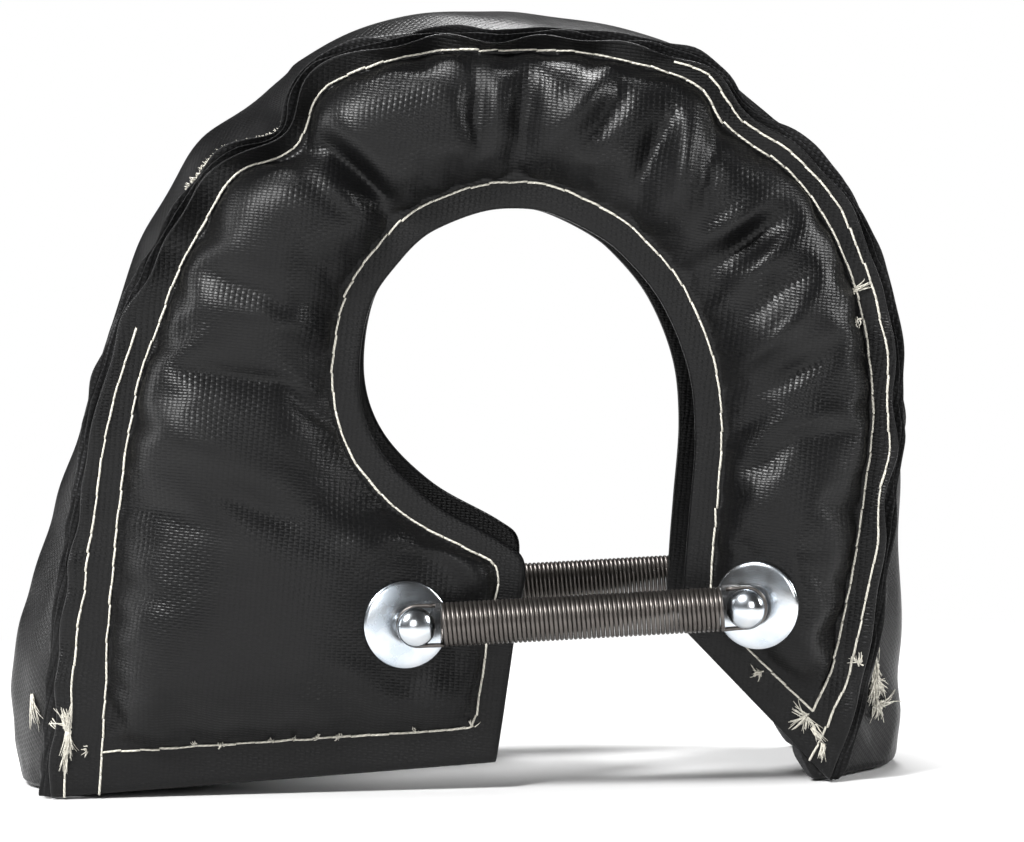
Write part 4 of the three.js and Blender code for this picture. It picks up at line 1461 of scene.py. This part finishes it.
def spring_paths(side):
    """Wire path of a spring in the row's frame: hook, close-wound coil, hook."""
    anchors = (Anchor(0), Anchor(1))
    ends = [Vector(a.spot(side, a.crossing(SPRING_FACE))) for a in anchors]
    span = (ends[1] - ends[0]).length / MM
    rooms = []
    for anchor in anchors:
        lean = (anchor.head_start() + HEAD_FLARE - anchor.along(SPRING_FACE)) * math.sin(anchor.angle)
        rooms.append(lean + HEAD_RADIUS * math.cos(anchor.angle) + GAP)
    turns = math.floor((span - 2 * max(rooms)) / COIL_PITCH)
    length = turns * COIL_PITCH
    reach = (span - length) / 2
    axis = (ends[1] - ends[0]).normalized()
    sideways = Vector((0, 1, 0))
    outward = sideways.cross(axis)
    start = ends[0] + axis * reach * MM

    def world(out, side_out, along):
        return np.array(start + (outward * out + sideways * side_out + axis * along) * MM)

    radius = COIL_RADIUS - WIRE_RADIUS
    hooks = []
    for anchor in anchors:
        neck = NECK_RADIUS / math.cos(anchor.angle) + WIRE_RADIUS * math.tan(anchor.angle) + GAP
        hooks.append(reach + neck - (HOOK_RADIUS - WIRE_RADIUS))
    steps = 26
    inset = WIRE_RADIUS
    count = turns * steps - steps
    coil = []
    for i in range(count + 1):
        angle = 2 * np.pi * i / steps
        along = inset + (length - 2 * inset) * i / count
        coil.append(world(radius * math.cos(angle), radius * math.sin(angle), along))
    near = hook_points(hooks[0], radius)
    far = hook_points(hooks[1], radius)
    path = [world(out, side_out, -along) for out, side_out, along in reversed(near)]
    path += coil
    path += [world(out, side_out, length + along) for out, side_out, along in far]
    return np.array(path)


def hook_points(centre, radius):
    """From the last turn outwards, round the neck, and back to just short of the coil."""
    points = [(radius, 0, 0.2), (HOOK_RADIUS, 0, centre * 0.5), (HOOK_RADIUS, 0, centre)]
    for angle in np.linspace(90, -90, 19)[1:]:
        a = math.radians(angle)
        points.append((HOOK_RADIUS * math.sin(a), 0, centre + HOOK_RADIUS * math.cos(a)))
    points.append((-HOOK_RADIUS, 0, centre * 0.5))
    points.append((-HOOK_RADIUS * 0.97, 0, WIRE_RADIUS * 1.3))
    return points


class BLANKET_OT_springs(bpy.types.Operator):
    """Close-wound springs hooked across the mouth"""

    bl_idname = "blanket.springs"
    bl_label = "Springs"

    def execute(self, context):
        steel = finishes()["Spring Wire"]
        for side, panel in ((-1, "front"), (1, "rear")):
            wire = Threads()
            wire.tube(spring_paths(side), WIRE_RADIUS * MM, sides=10)
            piece = wire.piece(f"{panel}_coil_spring", steel)
            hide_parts(f"{panel}_spring")
        return {"FINISHED"}


OPERATORS = (
    BLANKET_OT_stage,
    BLANKET_OT_panels,
    BLANKET_OT_band,
    BLANKET_OT_stitching,
    BLANKET_OT_frays,
    BLANKET_OT_anchors,
    BLANKET_OT_springs,
)


class BLANKET_PT_panel(bpy.types.Panel):
    """Builds the blanket piece by piece"""

    bl_idname = "BLANKET_PT_panel"
    bl_label = "Heat Blanket"
    bl_space_type = "VIEW_3D"
    bl_region_type = "UI"
    bl_category = "Heat Blanket"

    def draw(self, context):
        for operator in OPERATORS:
            self.layout.operator(operator.bl_idname)
        for settings in (context.scene.blanket_cloth, context.scene.blanket_thread,
                         context.scene.blanket_metal, context.scene.blanket_stage):
            box = self.layout.box()
            for name in settings.__annotations__:
                box.prop(settings, name)


SETTINGS = {
    "blanket_cloth": BlanketCloth,
    "blanket_thread": BlanketThread,
    "blanket_metal": BlanketMetal,
    "blanket_stage": BlanketStage,
}


def register():
    for name, settings in SETTINGS.items():
        bpy.utils.register_class(settings)
        setattr(bpy.types.Scene, name, bpy.props.PointerProperty(type=settings))
    for kind in (*OPERATORS, BLANKET_PT_panel):
        bpy.utils.register_class(kind)


def unregister():
    for kind in reversed((*OPERATORS, BLANKET_PT_panel)):
        bpy.utils.unregister_class(kind)
    for name, settings in SETTINGS.items():
        delattr(bpy.types.Scene, name)
        bpy.utils.unregister_class(settings)


def main():
    register()
    bpy.ops.blanket.stage()
    bpy.ops.blanket.panels()
    bpy.ops.blanket.band()
    bpy.ops.blanket.stitching()
    bpy.ops.blanket.frays()
    bpy.ops.blanket.anchors()
    bpy.ops.blanket.springs()


if __name__ == "__main__":
    main()
